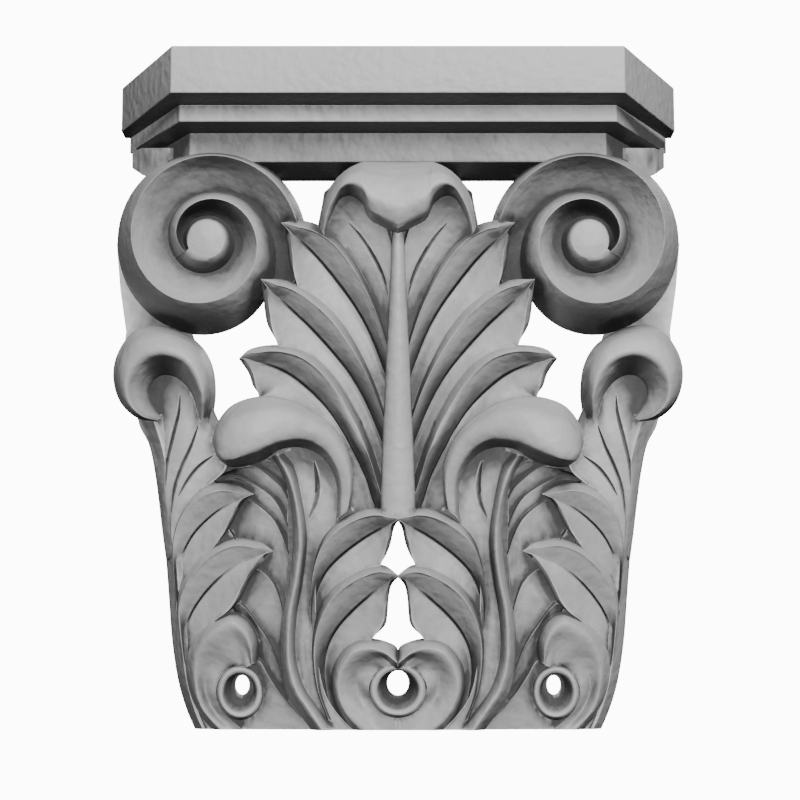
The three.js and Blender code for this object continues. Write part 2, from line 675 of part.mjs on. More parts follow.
// Eyes are pierced right through
function eyeBore({ out, up, wide, tall }) {
  const outline = new THREE.Shape().absellipse(out, up, wide, tall, 0, 2 * Math.PI);
  const beyond = 10;
  const bore = new THREE.ExtrudeGeometry(outline, {
    depth: drawing.depth + 2 * beyond,
    bevelEnabled: false,
    curveSegments: ringSteps,
  });
  bore.translate(0, 0, -beyond);
  return [1, -1].map((side) => carvedBlock(bore, side));
}

// The foot is cut off level
function belowFoot() {
  const height = 20;
  const block = new THREE.BoxGeometry(4 * carvingHalfWidth, 4 * carvingDepth, height);
  block.translate(0, 0, carve([0, footLine, drawing.depth / 2]).z - height / 2);
  return fromGeometry(block.toNonIndexed());
}

function carvedCorbel() {
  const pieces = [
    ...ground(),
    ...abacus(),
    volute(1),
    volute(-1),
    ...middleLeaf(),
    middleRib(),
    curl(),
    ...sideLeaf(),
    ...footLeaf(),
    ...lowLeaf(),
    ...hooks(),
    ...cornerRolls(),
    ...cornerLeaves(),
    ...flanks(),
    ...stems(),
    ...grounds(),
    ...scrolls(),
    ...eyeRing(footEye),
  ];
  const ring = eyeRing(middleEye)[0];
  const whole = [...pieces, ring].reduce((joined, piece) => joined.add(piece));
  const cuts = [...eyeBore(footBore), eyeBore(middleBore)[0], belowFoot()];
  return toGeometry(cuts.reduce((trimmed, cut) => trimmed.subtract(cut), whole));
}

// Corners that all but touch are made one, and faces that shrink to nothing by it are dropped
function settled({ vertProperties, triVerts }) {
  const places = new Map();
  const corners = [];
  const placeOf = (corner) => {
    const place = Array.from(vertProperties.slice(3 * corner, 3 * corner + 3));
    const steps = place.map((value) => Math.round(value / grain));
    const key = steps.join(' ');
    if (!places.has(key)) {
      places.set(key, places.size);
      corners.push(...steps.map((step) => step * grain));
    }
    return places.get(key);
  };
  const faces = [];
  for (let k = 0; k < triVerts.length; k += 3) {
    const [a, b, c] = [0, 1, 2].map((j) => placeOf(triVerts[k + j]));
    if (a !== b && b !== c && c !== a) faces.push([a, b, c]);
  }
  return { corners, faces };
}

// Stone is solid: only the outer skin is kept, without the pockets left shut between leaves
function outerSkin(faces) {
  const seams = new Map();
  faces.forEach((face, k) => face.forEach((corner, j) => {
    const key = [corner, face[(j + 1) % 3]].sort((m, n) => m - n).join(' ');
    seams.set(key, [...(seams.get(key) ?? []), k]);
  }));
  const links = faces.map((unused, k) => k);
  const headOf = (face) => {
    let head = face;
    while (links[head] !== head) head = links[head];
    links[face] = head;
    return head;
  };
  for (const sharing of seams.values()) {
    if (sharing.length === 2) links[headOf(sharing[0])] = headOf(sharing[1]);
  }
  const heads = faces.map((unused, k) => headOf(k));
  const sizes = new Map();
  heads.forEach((head) => sizes.set(head, (sizes.get(head) ?? 0) + 1));
  const [largest] = [...sizes].sort((a, b) => b[1] - a[1])[0];
  return faces.filter((unused, k) => heads[k] === largest);
}

function toGeometry(solid) {
  const { corners, faces } = settled(solid.getMesh());
  const geometry = new THREE.BufferGeometry();
  geometry.setAttribute('position', new THREE.Float32BufferAttribute(corners, 3));
  geometry.setIndex(outerSkin(faces).flat());
  geometry.computeVertexNormals();
  return geometry;
}

const stone = new THREE.MeshStandardMaterial({ color: 0x8e8e8e, roughness: 0.7, metalness: 0 });

const corbel = new THREE.Mesh(carvedCorbel(), stone);
corbel.name = 'carved_corbel';

const model = new THREE.Group();
model.add(corbel);

export default model;
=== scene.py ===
import json
import math
import bpy
import bmesh
import numpy as np
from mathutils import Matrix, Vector
from mathutils.bvhtree import BVHTree

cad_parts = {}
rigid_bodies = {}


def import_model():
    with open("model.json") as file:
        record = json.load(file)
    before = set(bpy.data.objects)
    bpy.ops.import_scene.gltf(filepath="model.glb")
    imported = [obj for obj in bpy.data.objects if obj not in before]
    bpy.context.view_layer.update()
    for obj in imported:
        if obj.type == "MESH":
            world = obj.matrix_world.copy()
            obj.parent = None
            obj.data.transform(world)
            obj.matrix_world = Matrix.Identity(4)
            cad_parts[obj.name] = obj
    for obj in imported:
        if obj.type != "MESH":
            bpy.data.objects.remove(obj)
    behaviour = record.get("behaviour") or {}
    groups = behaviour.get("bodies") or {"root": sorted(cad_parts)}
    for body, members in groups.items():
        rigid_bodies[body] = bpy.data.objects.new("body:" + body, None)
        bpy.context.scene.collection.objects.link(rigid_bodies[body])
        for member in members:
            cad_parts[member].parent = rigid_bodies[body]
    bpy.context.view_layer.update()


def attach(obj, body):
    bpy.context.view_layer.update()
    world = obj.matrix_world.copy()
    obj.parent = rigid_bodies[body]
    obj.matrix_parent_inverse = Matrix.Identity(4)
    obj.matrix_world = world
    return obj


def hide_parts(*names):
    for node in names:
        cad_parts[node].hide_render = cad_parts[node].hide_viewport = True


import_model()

# The front is set out as someone a metre away and a little below sees it.
# Points are [out from the centre line, up from the foot, proud of the wall], in millimetres.
setOut = {
    "metre": 0.001,
    "eyeDistance": 1000.0,
    "eyeTilt": 8.0,
    "boardDepth": 48.0,
    "boardMiddle": 166.0,
    "root": 8.0,          # how far off the wall each carved form starts
    "joinStep": 1e-6,     # corners closer than this, in metres, are one
    "leastGap": 1e-4,
    "leastWidth": 0.01,
    "lineSteps": 24,      # from one point of a line to the next, where its length is measured
}
tilt = math.radians(setOut["eyeTilt"])
eyePoint = np.array([
    0.0,
    -setOut["boardDepth"] - setOut["eyeDistance"] * math.cos(tilt),
    -setOut["eyeDistance"] * math.sin(tilt),
])


def carve(points):
    points = np.asarray(points, float)
    out, up, proud = points[..., 0], points[..., 1], points[..., 2]
    rise = up - setOut["boardMiddle"]
    board = np.stack([out, -setOut["boardDepth"] - rise * math.sin(tilt), rise * math.cos(tilt)], -1)
    reach = (-proud - eyePoint[1]) / (board[..., 1] - eyePoint[1])
    return (eyePoint + (board - eyePoint) * reach[..., None]) * setOut["metre"]


def atRoot(points):
    points = np.array(points, float)
    points[..., 2] = setOut["root"]
    return points


# Smooth lines through a few points: by their number here, and by the line's length below
def spline(points, params):
    points = np.asarray(points, float)
    params = np.asarray(params, float)
    ends = np.concatenate([2 * points[:1] - points[1:2], points, 2 * points[-1:] - points[-2:-1]])
    span = np.clip(np.floor(params).astype(int), 0, len(points) - 2)
    t = (params - span).reshape((-1,) + (1,) * (points.ndim - 1))
    a, b, c, d = (ends[span + k] for k in range(4))

    def gap(m, n):
        return np.maximum(np.linalg.norm(n - m, axis=-1, keepdims=True), setOut["leastGap"]) ** 0.5

    before, here, after = gap(a, b), gap(b, c), gap(c, d)
    lead = ((b - a) / before - (c - a) / (before + here) + (c - b) / here) * here
    tail = ((c - b) / here - (d - b) / (here + after) + (d - c) / after) * here
    return b + t * lead + t ** 2 * (3 * (c - b) - 2 * lead - tail) + t ** 3 * (2 * (b - c) + lead + tail)


def evenly(points, count):
    return spline(points, np.linspace(0, len(points) - 1, count + 1))


def alongLine(points, shares):
    steps = setOut["lineSteps"] * (len(points) - 1)
    params = np.linspace(0, len(points) - 1, steps + 1)
    dense = spline(points, params)
    run = np.concatenate([[0], np.cumsum(np.linalg.norm(np.diff(dense, axis=0), axis=1))])
    return spline(points, np.interp(np.clip(shares, 0, 1) * run[-1], run, params))


def mixed(a, b, share):
    return a + (b - a) * share


# A form given by stations, each a short row of points across it; crisp keeps its cut edges
def surface(stations, rows, columns, crisp):
    long = evenly(np.asarray(stations, float), rows)
    params = np.linspace(0, long.shape[1] - 1, columns + 1)
    across = np.swapaxes(long, 0, 1)
    soft = spline(across, params)
    span = np.clip(np.floor(params).astype(int), 0, len(across) - 2)
    t = (params - span)[:, None, None]
    straight = across[span] * (1 - t) + across[span + 1] * t
    return np.swapaxes(mixed(soft, straight, crisp), 0, 1)


# Closed solids, gathered in one collection until they are joined
rightForms = bpy.data.collections.new("right_forms")
middleForms = bpy.data.collections.new("middle_forms")
spareForms = bpy.data.collections.new("spare_forms")
for group in (rightForms, middleForms, spareForms):
    bpy.context.scene.collection.children.link(group)


def closedSolid(name, points, faces, group):
    points = np.asarray(points, float).reshape(-1, 3)
    steps = np.round(points / setOut["joinStep"]).astype(np.int64)
    first, joined = np.unique(steps, axis=0, return_index=True, return_inverse=True)[1:]
    joined = joined.reshape(-1)
    corners = points[first]
    kept = []
    volume = 0.0
    for face in faces:
        ring = [int(joined[k]) for k in face]
        ring = [k for j, k in enumerate(ring) if k != ring[j - 1]]
        if len(set(ring)) < 3:
            continue
        kept.append(ring)
        for j in range(1, len(ring) - 1):
            volume += np.dot(corners[ring[0]], np.cross(corners[ring[j]], corners[ring[j + 1]]))
    if volume < 0:
        kept = [ring[::-1] for ring in kept]
    mesh = bpy.data.meshes.new(name)
    mesh.from_pydata(corners.tolist(), [], kept)
    form = bpy.data.objects.new(name, mesh)
    group.objects.link(form)
    return form


# A carved surface, with walls that run back along the lines of sight to its root
def standing(name, rows, group=rightForms):
    rows = np.asarray(rows, float)
    count, width = rows.shape[:2]
    top = carve(rows).reshape(-1, 3)
    feet = carve(atRoot(rows[:, [0, -1]])).reshape(-1, 3)
    base = len(top)
    faces = []
    for i in range(count - 1):
        a, b = i * width, (i + 1) * width
        faces += [(a + j, a + j + 1, b + j + 1, b + j) for j in range(width - 1)]
        f, g = base + 2 * i, base + 2 * i + 2
        faces += [(f, a, b, g), (a + width - 1, f + 1, g + 1, b + width - 1), (f + 1, f, g, g + 1)]
    faces.append([base, base + 1] + list(range(width - 1, -1, -1)))
    last = (count - 1) * width
    end = base + 2 * (count - 1)
    faces.append([end] + list(range(last, last + width)) + [end + 1])
    return closedSolid(name, np.concatenate([top, feet]), faces, group)


# Faces of a block whose two ends have the same number of corners
def blockFaces(count):
    ends = [list(range(count)), list(range(2 * count - 1, count - 1, -1))]
    return ends + [((k + 1) % count, k, count + k, count + (k + 1) % count) for k in range(count)]


# A flat outline of the drawing, standing from one depth to another
def upright(name, outline, near, far):
    points = [[out, up, proud] for proud in (near, far) for out, up in outline]
    return closedSolid(name, carve(points), blockFaces(len(outline)), spareForms)


# A plan in metres, standing from one height to another
def prism(name, plan, low, high, group):
    points = [[x, y, z] for z in (low, high) for x, y in plan]
    return closedSolid(name, points, blockFaces(len(plan)), group)


# Faces between rings of points, each ring in the same order and closed on itself
def ringFaces(start, count, rings):
    faces = []
    for ring in range(rings):
        a, b = start + ring * count, start + (ring + 1) * count
        faces += [(a + k, b + k, b + (k + 1) % count, a + (k + 1) % count) for k in range(count)]
    return faces


def withinOne(value):
    return min(1.0, max(0.0, value))


def applied(base, operation, other):
    change = base.modifiers.new("join", "BOOLEAN")
    change.operation = operation
    change.solver = "MANIFOLD"
    if isinstance(other, bpy.types.Collection):
        change.operand_type = "COLLECTION"
        change.collection = other
    else:
        change.object = other
    graph = bpy.context.evaluated_depsgraph_get()
    made = bpy.data.meshes.new_from_object(base.evaluated_get(graph))
    base.modifiers.clear()
    base.data = made
    return base


# Leaf lobes: each runs from its tip to its root, under the rim of the lobe below it
leafCut = {
    "bevel": 4.0,
    "widestBevel": 0.28,  # as a share of the lobe's width
    "rimFall": 10.0,      # how far the rim falls outward from its crest
    "cornerShare": 0.3,   # share of the rim that lies over the end edge
    "underlap": 2.5,
    "tuckFrom": 0.6,      # where the lower edge starts to slip under the lobe below, by rows of the tip
    "tuckOver": 0.55,
    "seamDrop": 9.0,
    "tipSink": 2.0,
    "endWall": 3.0,       # how wide the cut below a lobe's end edge shows
    "widestEndWall": 0.35,
    "endDrop": 12.0,
    "endPace": 2.5,       # that cut is fully deep this many times sooner than the tip ends
    "relief": 1.2,
    "tipRelief": 0.45,
    "fullWidth": 22,      # width from which a lobe has its full relief
    "veinFrom": 0.5,
    "evening": 12,        # rows over which the corner of the lower edge is evened out inside the lobe
    "tipRows": 22,
    "bodyRows": 40,
    "rim": [(0, 1), (0.3, 0.7), (0.6, 0.4), (0.86, 0.12), (0.95, 0.02), (1, 0)],
    "body": [
        (0, 0), (0.03, 0.9), (0.12, 2.4), (0.25, 4.9), (0.36, 7.2), (0.45, 8.4), (0.5, 7.8), (0.55, 7.1),
        (0.65, 5.7), (0.8, 3.4), (0.92, 1.2), (1, 0),
    ],
    "vein": [(0, 0), (0.42, 0), (0.452, 1.9), (0.478, -0.9), (0.51, -0.6), (0.58, 0), (1, 0)],
    "across": [
        0.03, 0.07, 0.12, 0.18, 0.25, 0.33, 0.39, 0.42, 0.44, 0.452, 0.465, 0.478, 0.51, 0.55, 0.6, 0.69,
        0.78, 0.86, 0.93, 1,
    ],
}
sideLeafCut = {**leafCut, "endDrop": 8.5, "relief": 0.8, "seamDrop": 7.0, "rimFall": 8.0}
lastLobeCut = {**leafCut, "seamDrop": 3.5, "endWall": 2.4}
firstLobeCut = {
    **leafCut,
    "endWall": 0.0,
    "body": [(0, 0), (0.1, 1.5), (0.3, 3), (0.5, 3.4), (0.75, 2.2), (1, 0)],
    "vein": [(0, 0), (1, 0)],
}
lowLeafCut = {
    **leafCut,
    "bevel": 1.8,
    "rimFall": 4.0,
    "seamDrop": 5.0,
    "relief": 0.8,
    "endWall": 1.2,
    "tipRows": 8,
    "bodyRows": 24,
    "body": [(0, 0), (0.12, 1.8), (0.35, 3.2), (0.6, 3.2), (0.85, 1.6), (1, 0)],
    "vein": [(0, 0), (1, 0)],
    "across": [0.05, 0.12, 0.2, 0.3, 0.42, 0.55, 0.7, 0.85, 1],
}


def lobe(name, rim, below, endEdge, meets, cut):
    tipRows, bodyRows = cut["tipRows"], cut["bodyRows"]
    tip = np.array(rim[0], float)
    landing = alongLine(below, [meets])[0]
    tipShares = np.linspace(0, 1, tipRows + 1)
    bodyShares = np.linspace(0, 1, bodyRows + 1)[1:]
    corner = cut["cornerShare"]
    tops = alongLine(rim, np.concatenate([tipShares * corner, corner + (1 - corner) * bodyShares]))
    seams = np.concatenate([
        alongLine([tip, *endEdge, landing], tipShares),
        alongLine(below, meets + (1 - meets) * bodyShares),
    ])
    evened = []
    for k in range(len(seams)):
        reach = min(k, len(seams) - 1 - k, cut["evening"])
        evened.append(seams[k - reach:k + reach + 1].mean(axis=0))
    across = np.array(cut["across"])
    body, vein = (np.interp(across, *np.array(cut[label]).T) for label in ("body", "vein"))
    rows = []
    for k, (top, seam, even) in enumerate(zip(tops, seams, evened)):
        width = max(setOut["leastWidth"], math.hypot(top[0] - seam[0], top[1] - seam[1]))
        tipShare = min(1.0, k / tipRows)
        tucked = withinOne((k - cut["tuckFrom"] * tipRows) / (cut["tuckOver"] * tipRows))
        endWall = min(cut["widestEndWall"] * width, cut["endWall"])
        inward = endWall * (1 - tucked) - cut["underlap"] * tucked
        fullness = cut["relief"] * min(1.0, width / cut["fullWidth"]) * mixed(cut["tipRelief"], 1, tipShare)
        crest = min(cut["widestBevel"], cut["bevel"] / width)
        rimFall = cut["rimFall"] * crest * width / cut["bevel"]
        seamDrop = cut["tipSink"] * tipShare + (cut["seamDrop"] - cut["tipSink"]) * tucked
        fade = withinOne((k - cut["veinFrom"] * tipRows) / ((1 - cut["veinFrom"]) * tipRows))
        row = []
        for share, fall in cut["rim"]:
            point = mixed(top, seam, crest * share)
            row.append([point[0], point[1], top[2] - rimFall * fall])
        for share, drop, groove in zip(across, body, vein):
            reach = crest + (1 - crest) * share - inward / width * share ** 3
            point = mixed(top, mixed(even, seam, share ** 4), reach)
            sunk = (seam[2] - seamDrop - top[2]) * share ** 2 - (drop + groove * fade) * fullness
            row.append([point[0], point[1], top[2] + sunk])
        edge = seam if tucked < 1 else point
        row.append([edge[0], edge[1], row[-1][2] - cut["endDrop"] * min(1.0, cut["endPace"] * tipShare)])
        rows.append([list(tip)] * len(row) if k == 0 else row)
    return standing(name, rows)


def fan(name, rims, endEdges, meets, cuts):
    for k, (endEdge, cut) in enumerate(zip(endEdges, cuts)):
        lobe(f"{name}_{k + 1}", rims[k], rims[k + 1], endEdge, meets[k], cut)


middleLeaf = {
    "rims": [
        [[37, 270, 54], [29, 276, 54], [19, 274, 55], [8, 262, 56], [1, 240, 56]],
        [[58.5, 254.7, 58], [48, 255.8, 57], [36.5, 252, 56], [26.5, 243.5, 55], [13, 220, 54],
         [2, 186, 54]],
        [[68.5, 226.5, 60], [54, 225.5, 58], [39, 216.5, 56], [26.5, 203.5, 54], [12.5, 177, 53],
         [2, 144, 52]],
        [[79.7, 186.7, 60], [74, 191.5, 59], [59, 193.5, 58], [44, 189, 56], [29, 174.5, 54], [14, 146, 52],
         [2, 108, 50]],
        [[68.5, 168, 54], [54, 166, 54], [39, 158, 53], [26.5, 144.5, 52], [24, 125, 50], [19, 108, 48],
         [4, 98, 46]],
    ],
    "endEdges": [
        [[38.6, 260, 54]],
        [[56.8, 250, 57.5], [55.3, 243.5, 57], [54.3, 235, 57], [52.3, 228.5, 57]],
        [[67.5, 220, 59], [66.7, 211, 58], [65.2, 203.5, 58]],
        [[77, 183, 59], [74.5, 179, 58], [72.5, 173, 58]],
    ],
    "meets": [0.2, 0.17, 0.17, 0],
}
footScrollRim = [
    [70, 34.5, 46], [69, 43.5, 47], [74, 56, 47], [84, 60.2, 46], [96.5, 52.5, 43], [105, 38.5, 38],
    [105, 26, 34], [100, 12, 30], [91, -2, 28],
]
sideLeaf = {
    "rims": [
        [[72, 119, 50], [81.5, 123.7, 48], [92.5, 124, 45], [104, 117.5, 40], [112, 102, 34],
         [112.5, 80, 30], [111, 66, 28]],
        [[62.5, 90.5, 51], [68, 94.5, 50], [81, 97, 48], [91.5, 93.5, 45], [103, 83.5, 40],
         [110.5, 68.5, 34], [109.5, 51, 30], [107, 33.5, 28], [102.5, 16, 26], [96, -2, 25]],
        footScrollRim,
    ],
    "endEdges": [
        [[74, 117.4, 50], [78, 113.5, 49], [81, 108.5, 48], [83.5, 103.5, 47], [86.5, 98.8, 46]],
        [[69, 83.5, 50], [74, 76.5, 50], [77.3, 69.8, 49], [80, 64.8, 48], [84.5, 60.2, 47]],
    ],
    "meets": [0.24, 0.38],
}
middleScrollRim = [
    [0, 36, 58], [0.5, 40.5, 58], [5, 45, 58], [11.5, 46.7, 57], [24, 44, 55], [33, 30, 52], [33.5, 21, 50],
    [30, 10, 47], [22, -2, 45],
]
footLeaf = {
    "rims": [
        [[-0.8, 106.5, 60], [10, 112, 59], [24, 109, 57], [36.5, 98.5, 54], [41.7, 86, 51], [44.5, 66, 48]],
        [[-0.8, 78, 60], [8, 83.7, 59], [21.5, 80, 57], [35.5, 69, 53], [43.2, 51, 49], [43, 26, 46],
         [38, 8, 45]],
        middleScrollRim,
    ],
    "endEdges": [
        [[1.8, 102.5, 59], [3.8, 94, 58], [6.6, 87.4, 58]],
        [[3, 74, 59], [4.6, 67.5, 58], [5.2, 60, 57], [6.4, 53.5, 57]],
    ],
    "meets": [0.11, 0.24],
}
lowLeaf = {
    "rims": [
        [[86, 136, 30], [70, 138, 40], [61, 136, 41], [56, 128, 42]],
        [[88, 130.5, 29], [79, 132.5, 37], [70, 133.2, 41], [59, 125, 42], [55, 118, 42]],
        [[92, 126, 27], [80, 128.5, 37], [64, 120.5, 42], [59, 113.5, 42], [55, 104, 42]],
        [[88, 121, 30], [74, 117.5, 40], [63, 109, 42], [58.5, 101, 42], [54.5, 90, 42]],
        [[81.5, 78.5, 36], [70, 83, 40], [62.5, 77, 42], [59.5, 70, 42], [57, 60, 42]],
        [[83, 63, 36], [79.5, 66, 40], [69, 53.5, 41], [63, 43.5, 40], [58.5, 32, 39]],
        [[76, 36, 34], [69, 37.5, 38], [64, 29.5, 38], [59, 21, 38], [54, 14, 38]],
        [[91.5, -2, 28], [76.5, -2, 32], [59, -2, 34], [40, -2, 36]],
    ],
    "endEdges": [
        [[88, 133, 28]], [[90, 128, 27]], [[91, 123, 27]], [[90, 98, 30]], [[81, 72, 34]], [[78, 50, 34]],
        [[88, 18, 28]],
    ],
    "meets": [0, 0, 0, 0, 0, 0, 0],
}
fan("middle_leaf", **middleLeaf, cuts=[firstLobeCut, leafCut, leafCut, lastLobeCut])
fan("side_leaf", **sideLeaf, cuts=[sideLeafCut] * 2)
fan("foot_leaf", **footLeaf, cuts=[leafCut] * 2)
fan("low_leaf", **lowLeaf, cuts=[lowLeafCut] * 7)
print("leaves cut")

# Rolled leaf ends, leaf grounds and stems, station by station
hangingEnd = {
    "rows": 56, "columns": 28, "crisp": 0.25,
    "stations": [
        [[93, 146, 50], [92.8, 144.5, 52], [92.5, 143, 52], [92.5, 142.5, 50], [92, 141.5, 42]],
        [[90.5, 154.5, 52], [90.5, 148, 64], [89.5, 139, 67], [88.5, 136, 65.5], [86, 133.5, 44]],
        [[83, 163.5, 52], [83, 155, 69], [82.5, 142, 72], [82.3, 136.6, 70.5], [79, 132.5, 46]],
        [[68, 168, 54], [69, 160, 70], [70.5, 149, 73], [71.5, 140.6, 71.5], [68, 135.5, 48]],
        [[54, 166, 54], [55, 160, 68], [57, 152, 70], [59, 145.4, 68.5], [58, 141.5, 48]],
        [[39, 158, 54], [41, 154.5, 63], [43.5, 150, 65], [46.5, 146.2, 63.5], [47, 142, 48]],
        [[29, 148, 53], [31.5, 146.5, 59], [33.5, 144.2, 60], [36.5, 141.2, 59], [38, 137.5, 48]],
        [[23, 133.5, 52], [25, 133, 56], [27, 132.5, 57], [30.5, 132.3, 56.2], [33, 130.5, 47]],
        [[22.5, 122, 51], [24, 122, 54], [25.5, 122, 54], [28.2, 122, 53], [30.5, 122, 46]],
        [[24, 112, 49], [25, 111, 51], [26, 110, 51], [28.5, 108, 50], [31, 105, 45]],
    ],
}
cornerRoll = {
    "rows": 60, "columns": 24, "crisp": 0.0,
    "stations": [
        [[92.5, 156.5, 22], [96, 156.2, 43], [97.7, 156, 46], [99, 156, 44], [99.5, 157.5, 34]],
        [[91, 170, 22], [94.8, 170, 50], [98, 170, 57], [100.5, 170, 53], [102.5, 167.5, 36]],
        [[93, 184, 28], [97.2, 182, 54], [101, 179.5, 59], [104, 177.5, 54], [106, 173, 36]],
        [[101, 195.5, 40], [104, 191, 57], [107, 186.5, 60], [109.5, 183.5, 54], [110.5, 177, 36]],
        [[117.5, 203.2, 40], [117.5, 197, 57], [117.8, 190, 60], [118, 186, 54], [116.5, 178.5, 36]],
        [[131.5, 200.7, 40], [129.5, 195, 56], [127.5, 188, 59], [126, 183, 53], [121.5, 176.5, 36]],
        [[140, 190, 40], [137, 186, 54], [134, 181, 57], [131, 177, 52], [124.2, 171.5, 36]],
        [[142.5, 178, 39], [139, 176, 52], [136, 173.5, 55], [132.5, 171, 50], [124, 166, 36]],
        [[139, 165, 38], [136.5, 165, 50], [134.5, 165, 52], [131.5, 165, 48], [122, 162, 36]],
        [[130.5, 157, 37], [129.5, 157.6, 46], [128.3, 158.2, 48], [126.5, 159, 44], [120, 159, 36]],
        [[120.5, 155, 35], [120.5, 155.5, 38], [120.5, 155.8, 39], [120.5, 156, 38], [118, 157, 34]],
    ],
}
cornerLeaf = {
    "rows": 44, "columns": 26, "crisp": 0.1,
    "stations": [
        [[125, 180, 24], [112, 181, 31], [104, 176, 33], [100, 172, 33], [96, 167, 33], [92, 161, 32]],
        [[130, 156, 19], [113, 158.5, 32], [104, 156, 35], [99.5, 151, 34], [93, 147, 34], [86, 146, 33]],
        [[124.5, 143.5, 19], [115, 146, 32], [108, 146, 35], [104, 141, 34], [96, 136, 34], [86, 132, 34]],
        [[121.5, 129, 19], [116, 134, 31], [111.5, 133.5, 33], [108.5, 130, 33], [104, 127.5, 34],
         [94, 124, 34]],
        [[119.5, 114, 19], [116.5, 121, 30], [114, 121, 31], [112, 116, 32], [110, 113.5, 33],
         [103, 116, 34]],
        [[118, 101, 19], [115.5, 107, 27], [114, 106, 29], [113.5, 103.5, 30], [112.5, 101, 30],
         [110, 101, 31]],
        [[116, 86, 18], [114, 90, 25], [112.8, 89, 27], [112.6, 88, 27], [112.4, 87, 27], [112, 86, 27]],
    ],
}
flank = {
    "rows": 40, "columns": 10, "crisp": 0.85,
    "stations": [
        [[131, 158, 18], [123, 158, 31], [112, 160, 26]],
        [[124.5, 143.5, 18], [118.5, 144, 31], [108, 146, 26]],
        [[121, 126, 18], [115, 126, 31], [104, 126, 26]],
        [[118, 106, 18], [112.5, 106, 30], [100, 106, 25]],
        [[116, 86, 17], [111, 86, 29], [98, 86, 25]],
        [[114.5, 66, 16], [109.5, 66, 28], [97, 66, 25]],
        [[113, 46, 16], [108.5, 46, 27], [96, 46, 25]],
        [[110, 26, 15], [105.5, 24, 26], [92, 24, 25]],
        [[106, 12, 14], [101, 9, 25], [89, 10, 23.5]],
        [[100, -2, 14], [96, -2, 24], [86, -2, 23]],
    ],
}
curvedStem = {
    "rows": 64, "columns": 12, "crisp": 0.0,
    "stations": [
        [[63.5, 138, 44], [60.5, 139, 50], [57.5, 140, 44]],
        [[59, 131, 44], [55.5, 130, 53], [52.5, 133.5, 44]],
        [[54.5, 118, 44], [51.7, 118, 55], [48, 116, 44]],
        [[52.5, 96, 44], [49, 96, 55], [45.5, 96, 44]],
        [[54.5, 76, 44], [51, 76, 55], [47.5, 76, 44]],
        [[57.5, 61, 43], [54, 61, 54], [50, 61, 43]],
        [[59, 46, 42], [55, 46, 54], [51, 46, 42]],
        [[58.5, 33.5, 42], [54.5, 33.5, 54], [50, 33.5, 42]],
        [[56, 20, 41], [51, 21, 54], [46, 22, 42]],
        [[50, 10, 40], [45, 11.5, 53], [40, 13, 42]],
        [[41, -2, 38], [36, -2, 50], [29, -2, 42]],
    ],
}
stemGround = {
    "rows": 36, "columns": 12, "crisp": 0.2,
    "stations": [
        [[60, 139, 42], [49, 144, 36], [43, 145, 32]],
        [[55, 130, 44], [41.5, 134, 38], [35, 138, 33]],
        [[52, 118, 44], [40.5, 124, 41], [29, 126, 38]],
        [[49, 100, 44], [43, 108, 42], [29, 110, 42]],
        [[50, 76, 44], [45, 80, 43], [40, 82, 44]],
        [[54, 60, 43], [47, 58, 43], [41, 58, 42]],
        [[55, 36, 42], [46, 36, 43], [40, 36, 43]],
        [[50, 17, 42], [43, 16, 43], [35, 16, 42]],
        [[38, -2, 40], [31, -2, 41], [20, -2, 41]],
    ],
}
footScroll = {
    "rows": 56, "columns": 24, "crisp": 0.15,
    "stations": [
        [[91, -2, 23], [86, -2, 33], [80, -2, 33], [74, -2, 34]],
        [[101, 12, 25], [98, 12, 35], [92, 11, 32], [87, 10, 35]],
        [[105.5, 26, 29], [101.5, 25, 38], [96, 21.5, 33], [91, 18.5, 36]],
        [[105.5, 38.5, 31], [101, 36.5, 41], [95, 31, 37], [89.5, 26.5, 37]],
        [[102, 46, 34], [98, 43.5, 44], [91, 36.5, 40], [84.5, 31, 38]],
        [[96.5, 52.5, 36], [93.5, 49, 47], [87, 39, 42.5], [81, 32, 39]],
        [[89.5, 57, 37], [88, 53, 49], [84, 42, 44], [79, 31.5, 40]],
        [[83, 60.2, 38], [82.5, 54.5, 50], [80, 44, 45], [77.5, 32, 41]],
        [[75, 56.7, 38], [76.5, 49.5, 50], [76.5, 41, 45.5], [76, 32.5, 43]],
        [[69.5, 47, 38], [73.5, 42, 49], [74.5, 37, 45], [74, 33.2, 44]],
        [[70, 34.5, 37], [73, 34, 46], [73.5, 33.8, 45], [73, 33.5, 44]],
    ],
}
middleScroll = {
    "rows": 56, "columns": 24, "crisp": 0.15,
    "stations": [
        [[22, -2, 38], [15, -2, 47], [8, -2, 46], [-0.8, -2, 46]],
        [[30, 10, 40], [26, 9.5, 50], [14, 8, 46], [-0.8, 7, 48]],
        [[33.5, 21, 41], [30, 21, 53], [20, 21, 46], [14.5, 21, 51]],
        [[33, 30, 42], [29, 29.5, 55], [20, 28.5, 49], [12.5, 27.5, 51]],
        [[29.5, 38, 44], [26, 35.5, 57], [17.5, 32, 51], [9.5, 30, 51]],
        [[24, 44, 45], [22, 40, 59], [14, 34.5, 53], [7, 30.5, 51]],
        [[18, 46.5, 46], [17, 41.5, 60], [11, 36, 55], [5.5, 30.8, 52]],
        [[11.5, 46.7, 47], [12, 41.5, 61], [8, 36.5, 56], [4, 31, 52]],
        [[5, 45, 47], [6.5, 39.5, 61], [4.8, 35.5, 55], [2.5, 31.3, 53]],
        [[0.8, 42.6, 47], [3, 37, 60.5], [2.4, 33.8, 56], [1, 31.4, 53]],
        [[-0.8, 38, 47], [0.4, 34.6, 60], [0.2, 33, 56], [-0.6, 31.4, 53]],
    ],
}
for name, form in (
    ("hanging_end", hangingEnd), ("corner_roll", cornerRoll), ("corner_leaf", cornerLeaf), ("flank", flank),
    ("curved_stem", curvedStem), ("stem_ground", stemGround), ("foot_scroll", footScroll),
    ("middle_scroll", middleScroll),
):
    standing(name, surface(**form))
print("rolled ends, stems and scrolls cut")

